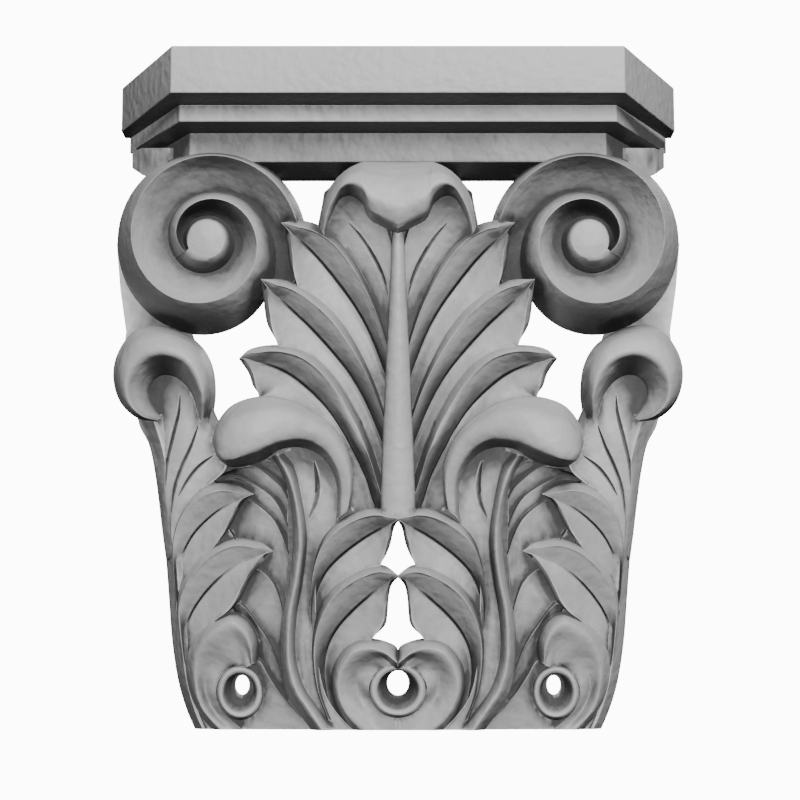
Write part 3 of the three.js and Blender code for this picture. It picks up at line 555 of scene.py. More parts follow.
# Stem of the middle leaf, a rounded rib that widens downwards
middleRib = {
    "rows": 40, "columns": 16, "rounding": 7.0,
    "stations": [
        [254, 3, 60], [236, 3.6, 62], [200, 5.2, 60], [166, 6.8, 58], [126, 8.5, 57], [106, 8.8, 56],
    ],
}


def ribRows(rib):
    shares = np.sin(np.linspace(-math.pi / 2, math.pi / 2, rib["columns"] + 1))
    fall = rib["rounding"] * (1 - np.sqrt(np.clip(1 - shares ** 2, 0, 1)))
    return [
        [[share * half, up, proud - drop] for share, drop in zip(shares, fall)]
        for up, half, proud in evenly(rib["stations"], rib["rows"])
    ]


# Head of the middle leaf, rolled forward under the abacus, with a scalloped lip
curl = {
    "rows": 40, "columns": 26,
    "across": [[0, 58], [0.16, 70], [0.38, 78], [0.66, 80], [0.9, 77], [1, 74]],
    "fall": 20.0,
    "lipHold": 0.2,       # how much of the fall is spared at the lip
    "sweep": 3.2,
    "underSweep": 1.1,
    "underLip": 3.4,
    "underSwell": 1.8,
    "underProud": 58.0,
    "underFall": 6,
    "stations": [
        [0, 285, 252], [6.5, 285, 255.2], [14.5, 285.1, 260], [18.5, 284.8, 268], [24.5, 282, 271.5],
        [29, 278.5, 270.2], [32.5, 274.7, 266], [37, 267.5, 257], [40, 254, 248],
    ],
}


def curlRows(curl):
    section = evenly(curl["across"], curl["columns"])
    half = []
    for k, (out, top, lip) in enumerate(evenly(curl["stations"], curl["rows"])):
        fade = k / curl["rows"]
        fall = curl["fall"] * fade ** 3
        sweep = curl["sweep"] * fade ** 2
        row = []
        for share, proud in section:
            lowered = proud - fall * (1 - curl["lipHold"] * share)
            row.append([out - sweep * share, top + (lip - top) * share, lowered])
        under = lip - curl["underLip"] * (1 - fade) - curl["underSwell"] * math.sin(math.pi * fade) ** 2
        row.append([out - sweep * curl["underSweep"], under, curl["underProud"] - curl["underFall"] * fade])
        half.append(row)
    mirrored = [[[-out, up, proud] for out, up, proud in row] for row in half[:0:-1]]
    return mirrored + half


standing("middle_rib", ribRows(middleRib), middleForms)
standing("curl", curlRows(curl), middleForms)

# Volutes: one spiral sheet, with a sharp ridge, a hollow channel inside it and a rounded eye
volute = {
    "centre": [96.5, 246],
    "start": -30, "end": 570, "step": 5,
    "ridge": [
        [-60, 51], [-30, 49.5], [13, 46.5], [90, 42.2], [180, 36.8], [270, 31.3], [360, 25.7],
        [450, 20.4], [540, 14], [570, 11.2], [600, 9],
    ],
    "wall": [
        [-60, 55], [-30, 53.5], [11, 50.5], [40, 48.6], [90, 43.8], [180, 43.6], [270, 48.4],
        [306, 44.5], [330, 39.5], [352, 35.3], [405, 28.3], [450, 23.8], [540, 18], [630, 16.7],
        [720, 15], [810, 12], [900, 11], [930, 10.8], [960, 10.7],
    ],
    "foot": [[-60, 20], [300, 20], [360, 38], [960, 40]],
    "crest": [[-30, 44], [0, 46], [8, 51], [14, 56], [20, 57], [470, 57], [570, 55.3]],
    "soften": 18,         # degrees to either side over which the spiral is evened out
    "softenSteps": 9,
    "ridgeWidth": 0.7,
    "ridgeDip": 0.05,
    "steepness": 0.5,
    "hollow": 2.6,        # how deep the channel dips
    "wallShares": [1, 0.97, 0.9, 0.78, 0.62, 0.45, 0.28],
    "lastWallShare": 0.2,
    "firstFloorShare": 0.06,
    "floorShares": [0.1, 0.19, 0.29, 0.4, 0.52, 0.64, 0.76, 0.87, 0.95],
    "floorLip": 0.6,
    "eye": {
        "out": 96, "up": 247.3, "proud": 55, "rise": 1.2,
        "reach": [[570, 10.3], [610, 9.8], [720, 8.6], [880, 8.5], [930, 10.2]],
        "slope": [0.2, 0.45, 0.7, 0.88, 1],
        "dome": [0.85, 0.65, 0.4, 0.18],
    },
}
fullTurn = 360


def turned(table, angle):
    angles, values = np.array(table, float).T
    window = np.linspace(-volute["soften"], volute["soften"], volute["softenSteps"])
    return float(np.mean(np.interp(angle + window, angles, values)))


def aroundEye(reach, angle, proud):
    turn = math.radians(angle)
    centre = volute["centre"]
    return np.array([centre[0] - reach * math.cos(turn), centre[1] + reach * math.sin(turn), proud])


def voluteWall(angle):
    return aroundEye(turned(volute["wall"], angle), angle, turned(volute["foot"], angle))


def voluteRow(angle):
    foot = voluteWall(angle)
    crest = float(np.interp(angle, *np.array(volute["crest"], float).T))
    ridge = aroundEye(turned(volute["ridge"], angle), angle, crest)
    inner = voluteWall(angle + fullTurn)
    width = max(setOut["leastWidth"], float(np.hypot(*(foot - ridge)[:2])))
    dish = max(setOut["leastWidth"], float(np.hypot(*(inner - ridge)[:2])))
    row = []
    steep = volute["steepness"]
    for share in volute["wallShares"] + [min(volute["lastWallShare"], volute["ridgeWidth"] / width)]:
        point = mixed(ridge, foot, share)
        rounded = 1 - math.sqrt(max(0.0, 1 - share ** 2))
        point[2] = mixed(ridge[2], foot[2], steep * share + (1 - steep) * rounded)
        row.append(point)
    row.append(ridge - [0, 0, volute["ridgeDip"]])
    first = min(volute["firstFloorShare"], volute["floorLip"] * volute["ridgeWidth"] / dish)
    for share in [first] + volute["floorShares"]:
        point = mixed(ridge, inner, share)
        point[2] -= volute["hollow"] * math.sin(math.pi * share)
        row.append(point)
    row.append(inner)
    return np.array(row)


def eyeRings(rim, angles):
    eye = volute["eye"]
    middle = np.array([eye["out"], eye["up"]])
    reach = np.linalg.norm(rim[:, :2] - middle, axis=1, keepdims=True)
    wanted = np.interp(angles, *np.array(eye["reach"], float).T)[:, None]
    shoulder = middle + (rim[:, :2] - middle) * wanted / reach
    rings = []
    for share in eye["slope"]:
        place = mixed(rim[:, :2], shoulder, share)
        proud = mixed(rim[:, 2], eye["proud"], math.sin(share * math.pi / 2))
        rings.append(np.column_stack([place, proud]))
    for share in eye["dome"]:
        place = mixed(middle, shoulder, share)
        proud = np.full(len(rim), eye["proud"] + eye["rise"] * (1 - share ** 2))
        rings.append(np.column_stack([place, proud]))
    return rings, np.array([eye["out"], eye["up"], eye["proud"] + eye["rise"]])


def voluteSolid(name):
    steps = (volute["end"] - volute["start"]) // volute["step"]
    turn = fullTurn // volute["step"]
    rows = np.array([voluteRow(volute["start"] + k * volute["step"]) for k in range(steps + 1)])
    width = rows.shape[1]
    points = [rows.reshape(-1, 3)]
    faces = []
    for k in range(steps):
        a, b = k * width, (k + 1) * width
        faces += [(a + j, a + j + 1, b + j + 1, b + j) for j in range(width - 1)]
    roots = atRoot(rows[:turn + 1, 0])
    base = len(rows) * width
    points.append(roots)
    faces += [(base + k, k * width, (k + 1) * width, base + k + 1) for k in range(turn)]
    faces.append([base + k for k in range(turn + 1)])
    faces.append([base, base + turn] + list(range(width - 1, -1, -1)))
    rim = np.concatenate([rows[steps, :1], rows[steps - turn + 1:, -1], rows[steps, -2:0:-1]])
    end, step = volute["end"], volute["step"]
    angles = [end, *range(end + step, end + fullTurn + 1, step), *[end + fullTurn] * (width - 2)]
    rings, top = eyeRings(rim, angles)
    count = len(rim)
    start = base + turn + 1
    points += [rim, *rings, top[None]]
    faces += ringFaces(start, count, len(rings))
    a, tip = start + len(rings) * count, start + (len(rings) + 1) * count
    faces += [(a + k, tip, a + (k + 1) % count) for k in range(count)]
    return closedSolid(name, carve(np.concatenate(points)), faces, rightForms)


voluteSolid("volute")
print("volutes, rib and curl cut")

# Ringed eyes of the scrolls, pierced right through
footEye = {
    "out": 79, "up": 19.7, "wide": 11.8, "tall": 13.8, "proud": 44,
    "bore": [77.8, 23.6, 3.4, 4.8],
}
middleEye = {
    "out": 0, "up": 21, "wide": 14.5, "tall": 14.2, "proud": 54,
    "bore": [0, 24.6, 5.4, 6.2],
}
eyeSides = 48
boring = {"near": 90.0, "far": -20.0, "sides": 40}
eyeSection = [(1, -10), (0.975, -3), (0.93, -0.9), (0.87, -0.1), (0.82, 0), (0.77, -0.3), (0.72, -1.1)]
funnelSection = [(0, -1.1), (0.12, -4.5), (0.35, -9), (0.7, -15), (1, -24)]


def allRound(count):
    return np.linspace(0, 2 * math.pi, count + 1)[:-1]


# The funnel narrows from the ring to the bore, which doesn't share its centre
def eyeRing(name, eye, group):
    turns = allRound(eyeSides)
    inner = eyeSection[-1][0]
    mouth = np.array([eye["out"], eye["up"], eye["wide"] * inner, eye["tall"] * inner])
    ovals = [(eye["out"], eye["up"], eye["wide"] * share, eye["tall"] * share, eye["proud"] + rise)
             for share, rise in eyeSection]
    for share, rise in funnelSection[1:]:
        ovals.append((*mixed(mouth, np.array(eye["bore"]), share), eye["proud"] + rise))
    ovals.append((*ovals[-1][:4], setOut["root"]))
    ovals.append((*ovals[0][:4], setOut["root"]))
    loop = [[[out + wide * math.cos(turn), up + tall * math.sin(turn), proud] for turn in turns]
            for out, up, wide, tall, proud in ovals]
    count = len(turns)
    faces = ringFaces(0, count, len(loop) - 1)
    last = (len(loop) - 1) * count
    faces += [(last + k, k, (k + 1) % count, last + (k + 1) % count) for k in range(count)]
    return closedSolid(name, carve(np.array(loop)), faces, group)


def bored(solid, name, bore):
    out, up, wide, tall = bore
    turns = allRound(boring["sides"])
    outline = [[out + wide * math.cos(turn), up + tall * math.sin(turn)] for turn in turns]
    return applied(solid, "DIFFERENCE", upright(name, outline, boring["near"], boring["far"]))


eyeRing("foot_eye", footEye, rightForms)
eyeRing("middle_eye", middleEye, middleForms)

# Ground behind the leaves, with its openings
ground = {
    "proud": 22.0,
    "cutFrom": 40.0, "cutTo": -20.0,
    "outline": [
        [-0.8, 292], [27, 292], [28, 250], [36, 246], [48, 250], [53, 253], [55, 262], [62, 275], [72, 283],
        [80, 292], [118, 292], [118, 276], [129, 268], [136, 257], [140.7, 244], [139, 222], [136, 200],
        [138, 186], [139, 174], [134, 162], [126, 156], [119, 138], [114, 106], [110, 66], [107, 36],
        [101, 12], [95, -2], [-0.8, -2], [-0.8, 36], [6, 42], [15, 45], [11, 52], [9, 60], [9, 80],
        [14, 83], [9, 92], [5, 104], [-0.8, 110],
    ],
    "shoulder": [
        [[133, 292, 3], [133, 282, 3]], [[128, 292, 12], [128, 278.5, 12]], [[121, 292, 26], [121, 276, 26]],
        [[115, 292, 34], [115, 275, 34]],
    ],
    "sideOpening": [
        [103, 200], [86, 205], [72, 214], [64, 219], [60, 199], [59, 190], [72, 188], [75, 184], [69, 174],
        [65, 165], [76, 162], [87, 156], [96, 155], [95, 173], [98, 186],
    ],
}
groundBlock = upright("ground", ground["outline"], ground["proud"], 0.0)
opening = upright("side_opening", ground["sideOpening"], ground["cutFrom"], ground["cutTo"])
groundBlock = applied(groundBlock, "DIFFERENCE", opening)
standing("shoulder", ground["shoulder"])

# Abacus: three square-edged courses, stepping out to the top, with canted corners
abacus = {
    "neckFoot": 285.0,
    "neckProud": 40.0,
    "easing": 0.7,        # millimetres taken off each sharp edge
    "easingSteps": 3,
    "easingRound": 0.6,
    "bedding": 0.4,       # how far a course stands into the one above it
    "backMargin": 1e-6,
    "courses": [
        {"height": 15.1, "plan": [[130, 0], [107, -40]]},
        {"height": 8.4, "plan": [[143, 0], [110, -62]]},
        {"height": 24.0, "plan": [[146, 0], [146, -13], [112, -84]]},
    ],
}


def course(name, foot, height, plan):
    metre = setOut["metre"]
    outline = np.array(plan + [[-x, y] for x, y in plan[::-1]])
    form = prism(name, outline * metre, foot * metre, (foot + height) * metre, middleForms)
    ease = bmesh.new()
    ease.from_mesh(form.data)
    back = -abacus["backMargin"]
    front = [edge for edge in ease.edges if not all(corner.co.y > back for corner in edge.verts)]
    bmesh.ops.bevel(ease, geom=front, offset=abacus["easing"] * metre, segments=abacus["easingSteps"],
                    profile=abacus["easingRound"], affect="EDGES", clamp_overlap=True)
    ease.to_mesh(form.data)
    ease.free()


level = float(carve([0, abacus["neckFoot"], abacus["neckProud"]])[2]) / setOut["metre"]
topCourse = len(abacus["courses"]) - 1
for k, part in enumerate(abacus["courses"]):
    bedding = abacus["bedding"] if k < topCourse else 0
    course(f"course_{k + 1}", level, part["height"] + bedding, part["plan"])
    level += part["height"]
print("ground and abacus built")

# The right half is joined first, then mirrored
half = applied(groundBlock, "UNION", rightForms)
print("right half:", len(half.data.polygons), "faces")

# Fine veins cut into the joined carving: a line of the drawing, its width and its depth
veinCuts = [
    {"width": 2.6, "depth": 2.0, "line": [[24.5, 254.5], [19, 248], [13, 238.5], [8, 228.5], [5, 218.5]]},
    {"width": 2.6, "depth": 2.6,
     "line": [[109, 168.5], [109.8, 160], [112.8, 147.8], [115.7, 134.8], [116.3, 123.3]]},
    {"width": 2.6, "depth": 2.6,
     "line": [[99.8, 153.2], [103.6, 142.5], [108.2, 132.5], [112, 121.8], [113.8, 108]]},
    {"width": 2.6, "depth": 2.6, "line": [[92.5, 138.3], [100.6, 131.8], [105.9, 124.9], [109.8, 118]]},
    {"width": 3.0, "depth": 2.4, "line": [[42, 135.5], [40.5, 128.5], [40, 122], [41, 115], [44.5, 107]]},
    {"width": 1.6, "depth": 1.2, "line": [[84.5, 101.5], [82.5, 98.5], [81, 96]]},
]
veinTool = {
    "steps": 8,           # for each point of the line
    "aim": 40.0,
    "above": 5.0,
    "lip": 0.3,
    "blunt": 0.03,
    "taper": 0.6,
    "evening": 3,         # steps to either side over which the depth is evened out
}
cutters = bpy.data.collections.new("vein_cutters")
bpy.context.scene.collection.children.link(cutters)


def veinCutter(name, tree, line, width, depth):
    count = veinTool["steps"] * len(line)
    blunt, lip, above = veinTool["blunt"], veinTool["lip"], veinTool["above"]
    path = alongLine([[*point, 0] for point in line], np.linspace(0, 1, count + 1))
    ways = np.gradient(path, axis=0)[:, :2]
    ways /= np.linalg.norm(ways, axis=1, keepdims=True)
    sides = np.column_stack([-ways[:, 1], ways[:, 0]])
    source = Vector(eyePoint * setOut["metre"])
    rows, levels = [], []
    for k, (point, side) in enumerate(zip(path, sides)):
        aim = Vector(carve([point[0], point[1], veinTool["aim"]]).tolist()) - source
        hit = tree.ray_cast(source, aim.normalized())[0]
        proud = -hit.y / setOut["metre"]
        swell = math.sin(math.pi * (blunt + (1 - 2 * blunt) * k / count)) ** veinTool["taper"]
        reach, deep = side * width * swell / 2, depth * swell
        left, right = point[:2] + reach, point[:2] - reach
        rows.append([[*left, above], [*left, lip], [*point[:2], -deep], [*right, lip], [*right, above]])
        levels.append(proud)
    rows = np.array(rows)
    span = 2 * veinTool["evening"] + 1
    levels = np.convolve(np.pad(levels, veinTool["evening"], "edge"), np.ones(span) / span, "valid")
    rows[:, :, 2] += levels[:, None]
    points = carve(rows).reshape(-1, 3)
    ring = rows.shape[1]
    faces = []
    for k in range(count):
        a, b = ring * k, ring * (k + 1)
        faces += [(a + j, a + (j + 1) % ring, b + (j + 1) % ring, b + j) for j in range(ring)]
    faces += [tuple(range(ring - 1, -1, -1)), tuple(range(ring * count, ring * (count + 1)))]
    return closedSolid(name, points, faces, cutters)


tree = BVHTree.FromPolygons([corner.co for corner in half.data.vertices],
                            [list(face.vertices) for face in half.data.polygons])
for k, cut in enumerate(veinCuts):
    veinCutter(f"vein_{k + 1}", tree, **cut)
half = applied(half, "DIFFERENCE", cutters)
print("veins cut:", len(half.data.polygons), "faces")
half = bored(half, "foot_bore", footEye["bore"])

mirrored = half.data.copy()
mirrored.transform(((-1, 0, 0, 0), (0, 1, 0, 0), (0, 0, 1, 0), (0, 0, 0, 1)))
mirrored.flip_normals()
middleForms.objects.link(bpy.data.objects.new("left_half", mirrored))
corbel = applied(half, "UNION", middleForms)
corbel = bored(corbel, "middle_bore", middleEye["bore"])

# The foot is sawn level and the back is sawn flat, by blocks given in metres
sawing = {
    "footUp": 1.0, "footProud": 40.0,
    "reach": 0.3, "front": -0.2, "rear": 0.2, "drop": 0.02, "depth": 0.1,
}


def sawn(solid, name, front, rear, low, high):
    reach = sawing["reach"]
    plan = [(-reach, front), (reach, front), (reach, rear), (-reach, rear)]
    return applied(solid, "DIFFERENCE", prism(name, plan, low, high, spareForms))


footZ = float(carve([0, sawing["footUp"], sawing["footProud"]])[2])
corbel = sawn(corbel, "below_foot", sawing["front"], sawing["rear"], footZ - sawing["drop"], footZ)
corbel = sawn(corbel, "behind_wall", 0.0, sawing["depth"], -sawing["reach"], sawing["reach"])

carving = bpy.data.objects.new("carving", corbel.data)
carving.data.name = "carving"
bpy.context.scene.collection.objects.link(carving)
for group in (rightForms, middleForms, spareForms, cutters):
    for form in list(group.objects):
        bpy.data.objects.remove(form)
    bpy.data.collections.remove(group)


skin = {"weld": 5e-6, "sharpAngle": 34}


# Stone is solid: only the outer skin is kept, without the pockets left shut between leaves
def keepSkin(mesh):
    work = bmesh.new()
    work.from_mesh(mesh)
    bmesh.ops.remove_doubles(work, verts=work.verts, dist=skin["weld"])
    bmesh.ops.triangulate(work, faces=work.faces)
    work.faces.ensure_lookup_table()
    seen, largest = set(), []
    for face in work.faces:
        if face.index in seen:
            continue
        patch, waiting = [], [face]
        seen.add(face.index)
        while waiting:
            here = waiting.pop()
            patch.append(here)
            for side in here.edges:
                for near in side.link_faces:
                    if near.index not in seen:
                        seen.add(near.index)
                        waiting.append(near)
        if len(patch) > len(largest):
            largest = patch
    kept = set(face.index for face in largest)
    bmesh.ops.delete(work, geom=[face for face in work.faces if face.index not in kept], context="FACES")
    work.to_mesh(mesh)
    work.free()


keepSkin(carving.data)
carving.data.shade_smooth()
carving.data.set_sharp_from_angle(angle=math.radians(skin["sharpAngle"]))
print("carving joined:", len(carving.data.polygons), "triangles")

# How shut in each point of the surface is, and which edges stand out, for the painted shade in recesses and
# the painted highlight along ridges
paintedLightMarks = {
    "rays": 20,
    "reach": 0.045,
    "lift": 0.0004,
    "back": -0.0002,      # the flat back, from here on, gets no painted shade and no painted highlight
    "highlightGain": 2.2,
    "leastEdge": 1e-6,
}


# How shut in each point is, which sets where the painted shade goes
def measureRecess(mesh):
    places = [corner.co for corner in mesh.vertices]
    tree = BVHTree.FromPolygons(places, [list(face.vertices) for face in mesh.polygons])
    golden = math.pi * (3 - math.sqrt(5))
    rays = []
    for k in range(paintedLightMarks["rays"]):
        height = math.sqrt((k + 0.5) / paintedLightMarks["rays"])
        flat = math.sqrt(1 - height ** 2)
        rays.append(Vector((flat * math.cos(golden * k), flat * math.sin(golden * k), height)))
    shut = np.zeros(len(mesh.vertices))
    for k, corner in enumerate(mesh.vertices):
        if corner.co.y > paintedLightMarks["back"]:
            continue
        normal = corner.normal
        turn = normal.to_track_quat("Z", "Y")
        start = corner.co + normal * paintedLightMarks["lift"]
        blocked = 0.0
        for ray in rays:
            distance = tree.ray_cast(start, turn @ ray, paintedLightMarks["reach"])[3]
            if distance is not None:
                blocked += 1 - distance / paintedLightMarks["reach"]
        shut[k] = blocked / paintedLightMarks["rays"]
    recess = mesh.attributes.new("recess", "FLOAT", "POINT")
    recess.data.foreach_set("value", shut)


# How far each point stands out as a ridge, which sets where the painted highlight goes
def measureRidgeHighlight(mesh):
    coords = np.empty(3 * len(mesh.vertices))
    normals = np.empty(3 * len(mesh.vertices))
    mesh.vertices.foreach_get("co", coords)
    mesh.vertices.foreach_get("normal", normals)
    coords, normals = coords.reshape(-1, 3), normals.reshape(-1, 3)
    ends = np.empty(2 * len(mesh.edges), int)
    mesh.edges.foreach_get("vertices", ends)
    ends = ends.reshape(-1, 2)
    bend = np.zeros(len(coords))
    count = np.zeros(len(coords))
    for a, b in (ends.T, ends.T[::-1]):
        step = coords[b] - coords[a]
        length = np.maximum(np.linalg.norm(step, axis=1), paintedLightMarks["leastEdge"])
        np.add.at(bend, a, -np.einsum("ij,ij->i", step, normals[a]) / length)
        np.add.at(count, a, 1)
    paintedHighlight = np.clip(bend / np.maximum(count, 1) * paintedLightMarks["highlightGain"], 0, 1)
    paintedHighlight[coords[:, 1] > paintedLightMarks["back"]] = 0
    edge = mesh.attributes.new("edge", "FLOAT", "POINT")
    edge.data.foreach_set("value", paintedHighlight)


measureRecess(carving.data)
measureRidgeHighlight(carving.data)
print("painted shade and highlight masks measured")


# Shader node groups, each built once; an input with no value of its own takes a vector
def newGroup(name, inputs, outputs):
    group = bpy.data.node_groups.new(name, "ShaderNodeTree")
    for label, value in inputs.items():
        kind = "NodeSocketVector" if value is None else "NodeSocketFloat"
        socket = group.interface.new_socket(label, in_out="INPUT", socket_type=kind)
        if value is not None:
            socket.default_value = value
    for label in outputs:
        group.interface.new_socket(label, in_out="OUTPUT", socket_type="NodeSocketFloat")
    start = group.nodes.new("NodeGroupInput")
    end = group.nodes.new("NodeGroupOutput")
    start.location, end.location = (-900, 0), (600, 0)
    return group, start, end


# A value goes straight on a socket, and another node's output is linked to it
def feed(group, value, socket):
    if isinstance(value, (int, float, tuple)):
        socket.default_value = value
    else:
        group.links.new(value, socket)


def noise(group, vector, scale, detail, roughness=0.55):
    node = group.nodes.new("ShaderNodeTexNoise")
    for label, value in (("Detail", detail), ("Roughness", roughness), ("Vector", vector), ("Scale", scale)):
        feed(group, value, node.inputs[label])
    return node.outputs["Fac"]


def sums(group, kind, a, b, clamp=False):
    node = group.nodes.new("ShaderNodeMath")
    node.operation = kind
    node.use_clamp = clamp
    for socket, value in zip(node.inputs, (a, b)):
        feed(group, value, socket)
    return node.outputs[0]


def weighted(group, parts, shares):
    first, second = (sums(group, "MULTIPLY", part, share) for part, share in zip(parts, shares))
    return sums(group, "ADD", first, second)


def spread(group, value, span, newSpan):
    node = group.nodes.new("ShaderNodeMapRange")
    labels = ("Value", "From Min", "From Max", "To Min", "To Max")
    for label, number in zip(labels, (value, *span, *newSpan)):
        feed(group, number, node.inputs[label])
    return node.outputs["Result"]


def blended(group, share, a, b):
    node = group.nodes.new("ShaderNodeMix")
    node.data_type = "RGBA"
    for place, value in ((0, share), (6, a), (7, b)):
        feed(group, value, node.inputs[place])
    return node.outputs[2]


# Fine matte grey stone: its colours, the size of its grain, and how far the painted shade in recesses and
# under downward faces and the painted highlight along ridges go
stone = {
    "pale": (0.3, 0.3, 0.303, 1),
    "deep": (0.24, 0.24, 0.243, 1),
    # painted shade: near-black colour for recesses and for faces that look down
    "paintedShade": (0.02, 0.02, 0.02, 1),
    # painted highlight: pale colour along ridges that stand out
    "paintedHighlight": (0.5, 0.5, 0.5, 1),
    "grainSize": 900.0,
    "cloudSize": 22.0,
    "toolSize": 190.0,
    "toneShares": (0.7, 0.3),         # of the clouds and of the grain
    "heightShares": (0.12, 0.88),     # of the grain and of the tool marks
    "toneSpan": (0.35, 0.65),
    "shadeSpan": (0.16, 0.52),
    "shadePatches": 60.0,
    "shadePatchSpan": (0.3, 0.7),
    "shadeShake": (-0.025, 0.025),
    "shadeCover": 0.9,
    "underSpan": (-0.7, -1.0),        # how far down a face looks where painted shade starts, and where it is full
    "highlightSpan": (0.3, 0.85),
    "highlightPatches": 130.0,
    "highlightPatchSpan": (0.3, 0.65),
    "highlightLeft": (0.6, 1.0),
    "highlightAmount": 0.6,
    "roughness": (0.5, 0.62),
    "shine": 0.4,
    "bump": 0.45,
    "bumpDistance": 0.0016,
}


def stoneGrain():
    inputs = {
        "Place": None, "Grain size": stone["grainSize"], "Cloud size": stone["cloudSize"],
        "Tool size": stone["toolSize"],
    }
    group, start, end = newGroup("stone grain", inputs, ["Tone", "Height"])
    place = start.outputs["Place"]
    fine = noise(group, place, start.outputs["Grain size"], detail=3)
    cloud = noise(group, place, start.outputs["Cloud size"], detail=4)
    tool = noise(group, place, start.outputs["Tool size"], detail=1, roughness=0.4)
    group.links.new(weighted(group, (cloud, fine), stone["toneShares"]), end.inputs["Tone"])
    group.links.new(weighted(group, (fine, tool), stone["heightShares"]), end.inputs["Height"])
    return group


# Painted shade: a mask over recesses and downward faces, where shade falls, broken up a little by noise
def paintedRecessShade():
    low, high = stone["shadeSpan"]
    inputs = {"Recess": 0.0, "Place": None, "Facing": None, "From": low, "To": high}
    group, start, end = newGroup("painted recess and underside shade", inputs, ["Mask"])
    patches = noise(group, start.outputs["Place"], stone["shadePatches"], detail=3)
    shake = spread(group, patches, stone["shadePatchSpan"], stone["shadeShake"])
    shaken = sums(group, "ADD", start.outputs["Recess"], shake)
    shut = spread(group, shaken, (start.outputs["From"], start.outputs["To"]), (0.0, 1.0))
    split = group.nodes.new("ShaderNodeSeparateXYZ")
    group.links.new(start.outputs["Facing"], split.inputs[0])
    under = spread(group, split.outputs["Z"], stone["underSpan"], (0.0, 1.0))
    group.links.new(sums(group, "MAXIMUM", shut, under), end.inputs["Mask"])
    return group


# Painted highlight: a pale mask along ridges that stand out, broken up by noise
def paintedRidgeHighlight():
    inputs = {"Edge": 0.0, "Place": None, "Amount": stone["highlightAmount"]}
    group, start, end = newGroup("painted ridge highlight", inputs, ["Mask"])
    patches = noise(group, start.outputs["Place"], stone["highlightPatches"], detail=3)
    sharp = spread(group, start.outputs["Edge"], stone["highlightSpan"], (0.0, 1.0))
    left = spread(group, patches, stone["highlightPatchSpan"], stone["highlightLeft"])
    broken = sums(group, "MULTIPLY", sharp, left)
    mask = sums(group, "MULTIPLY", broken, start.outputs["Amount"], clamp=True)
    group.links.new(mask, end.inputs["Mask"])
    return group


def stoneMaterial(grainGroup, shadeGroup, highlightGroup):
    material = bpy.data.materials.new("honed grey stone")
    material.use_nodes = True
    tree = material.node_tree
    shader = tree.nodes["Principled BSDF"]
    place = tree.nodes.new("ShaderNodeTexCoord").outputs["Object"]
    masks = {}
    for label in ("recess", "edge"):
        reader = tree.nodes.new("ShaderNodeAttribute")
        reader.attribute_name = label
        masks[label] = reader.outputs["Fac"]
    grain, paintedShade, highlight = (tree.nodes.new("ShaderNodeGroup") for k in range(3))
    grain.node_tree, paintedShade.node_tree, highlight.node_tree = grainGroup, shadeGroup, highlightGroup
    for node in (grain, paintedShade, highlight):
        tree.links.new(place, node.inputs["Place"])
    tree.links.new(masks["recess"], paintedShade.inputs["Recess"])
    tree.links.new(tree.nodes.new("ShaderNodeNewGeometry").outputs["Normal"], paintedShade.inputs["Facing"])
    tree.links.new(masks["edge"], highlight.inputs["Edge"])
    tone = spread(tree, grain.outputs["Tone"], stone["toneSpan"], (0.0, 1.0))
    colour = blended(tree, tone, stone["deep"], stone["pale"])
    # painted shade darkens recesses and undersides
    cover = sums(tree, "MULTIPLY", paintedShade.outputs["Mask"], stone["shadeCover"])
    colour = blended(tree, cover, colour, stone["paintedShade"])
    # painted highlight lightens the ridges
    colour = blended(tree, highlight.outputs["Mask"], colour, stone["paintedHighlight"])
    tree.links.new(colour, shader.inputs["Base Color"])
    rough = spread(tree, grain.outputs["Tone"], stone["toneSpan"], stone["roughness"])
    tree.links.new(rough, shader.inputs["Roughness"])
    bump = tree.nodes.new("ShaderNodeBump")
    bump.inputs["Strength"].default_value = stone["bump"]
    bump.inputs["Distance"].default_value = stone["bumpDistance"]
    tree.links.new(grain.outputs["Height"], bump.inputs["Height"])
    tree.links.new(bump.outputs["Normal"], shader.inputs["Normal"])
    shader.inputs["Specular IOR Level"].default_value = stone["shine"]
    return material


carving.data.materials.clear()
carving.data.materials.append(stoneMaterial(stoneGrain(), paintedRecessShade(), paintedRidgeHighlight()))
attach(carving, "root")
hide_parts("carved_corbel")
print("stone finished")

# Plain pale floor well below the carving; it throws next to no light back up on it
floorLook = {
    "height": -0.62,
    "size": 6.0,
    "pale": (0.82, 0.82, 0.82, 1),
    "bounce": (0.04, 0.04, 0.04, 1),
    "glow": 0.55,
    "roughness": 0.95,
}


def paleFloor():
    half = floorLook["size"] / 2
    corners = [(-half, -half), (half, -half), (half, half), (-half, half)]
    mesh = bpy.data.meshes.new("floor")
    mesh.from_pydata([(x, y, floorLook["height"]) for x, y in corners], [], [(0, 1, 2, 3)])
    material = bpy.data.materials.new("pale floor")
    material.use_nodes = True
    tree = material.node_tree
    shader = tree.nodes["Principled BSDF"]
    shader.inputs["Roughness"].default_value = floorLook["roughness"]
    shader.inputs["Emission Color"].default_value = floorLook["pale"]
    seen = tree.nodes.new("ShaderNodeLightPath").outputs["Is Camera Ray"]
    colour = blended(tree, seen, floorLook["bounce"], floorLook["pale"])
    tree.links.new(colour, shader.inputs["Base Color"])
    glow = sums(tree, "MULTIPLY", seen, floorLook["glow"])
    tree.links.new(glow, shader.inputs["Emission Strength"])
    mesh.materials.append(material)
    floor = bpy.data.objects.new("floor", mesh)
    bpy.context.scene.collection.objects.link(floor)


paleFloor()

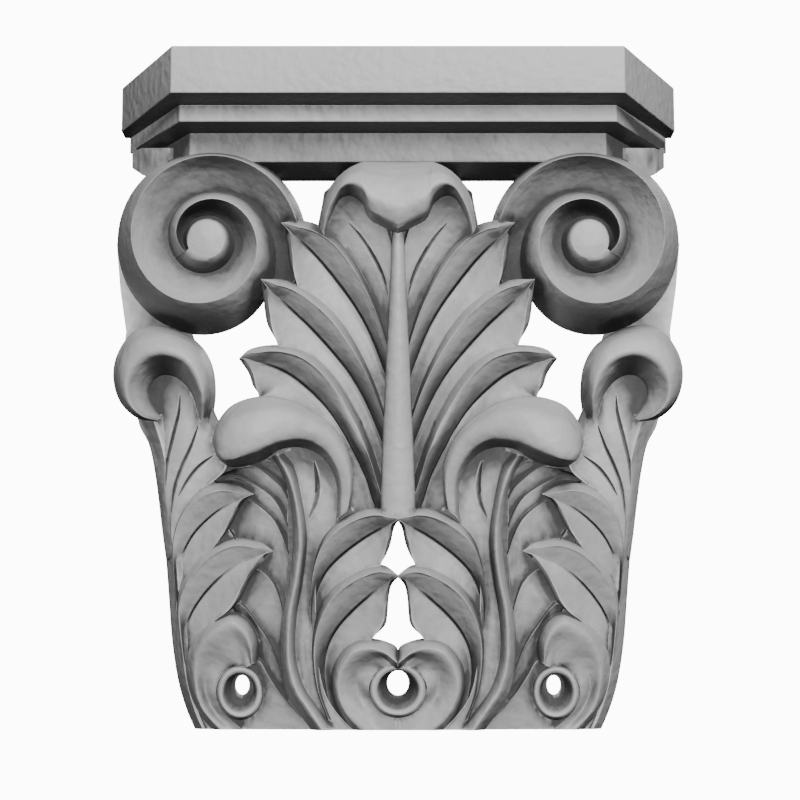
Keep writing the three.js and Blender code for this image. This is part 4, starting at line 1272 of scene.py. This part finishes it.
# Soft key from the upper right front and a weak side lamp, both without shadows,
# a lamp by the eye that throws them, and one for the back
lamps = [
    {"name": "key", "place": (0.39, -1.65, 0.84), "aim": (0, -0.04, 0),
     "size": 0.45, "power": 70, "shadow": False},
    {"name": "front", "place": (0.25, -1.7, 0.55), "aim": (0, -0.04, 0),
     "size": 0.7, "power": 12, "shadow": True},
    {"name": "side", "place": (-1.6, -1.0, 0.3), "aim": (0, -0.04, 0),
     "size": 0.8, "power": 10, "shadow": False},
    {"name": "back", "place": (0.2, 1.6, 0.8), "aim": (0, 0, 0),
     "size": 1.2, "power": 20, "shadow": True},
]
for lamp in lamps:
    light = bpy.data.lights.new(lamp["name"], "AREA")
    light.shape = "DISK"
    light.size = lamp["size"]
    light.energy = lamp["power"]
    light.use_shadow = lamp["shadow"]
    holder = bpy.data.objects.new(lamp["name"], light)
    holder.location = lamp["place"]
    way = Vector(lamp["aim"]) - Vector(lamp["place"])
    holder.rotation_euler = way.to_track_quat("-Z", "Y").to_euler()
    bpy.context.scene.collection.objects.link(holder)

# White studio all round, seen by the camera only, so that undersides stay deep
studio = {"white": (1, 1, 1, 1), "ambient": 0.012, "seen": 12.0}
world = bpy.data.worlds.new("studio")
bpy.context.scene.world = world
world.use_nodes = True
air = world.node_tree.nodes["Background"]
air.inputs["Color"].default_value = studio["white"]
seen = world.node_tree.nodes.new("ShaderNodeLightPath").outputs["Is Camera Ray"]
strength = spread(world.node_tree, seen, (0.0, 1.0), (studio["ambient"], studio["seen"]))
world.node_tree.links.new(strength, air.inputs["Strength"])

# Camera a metre from the drawing board, looking up at it a little
view = {"lens": 90, "sensor": 36, "aside": 0.001}
camera = bpy.data.cameras.new("camera")
camera.lens = view["lens"]
camera.sensor_width = view["sensor"]
cameraHolder = bpy.data.objects.new("camera", camera)
cameraHolder.location = Vector(eyePoint * setOut["metre"]) + Vector((view["aside"], 0, 0))
cameraHolder.rotation_euler = Vector((0, math.cos(tilt), math.sin(tilt))).to_track_quat("-Z", "Y").to_euler()
bpy.context.scene.collection.objects.link(cameraHolder)
bpy.context.scene.camera = cameraHolder

print("stage, lights and camera set")
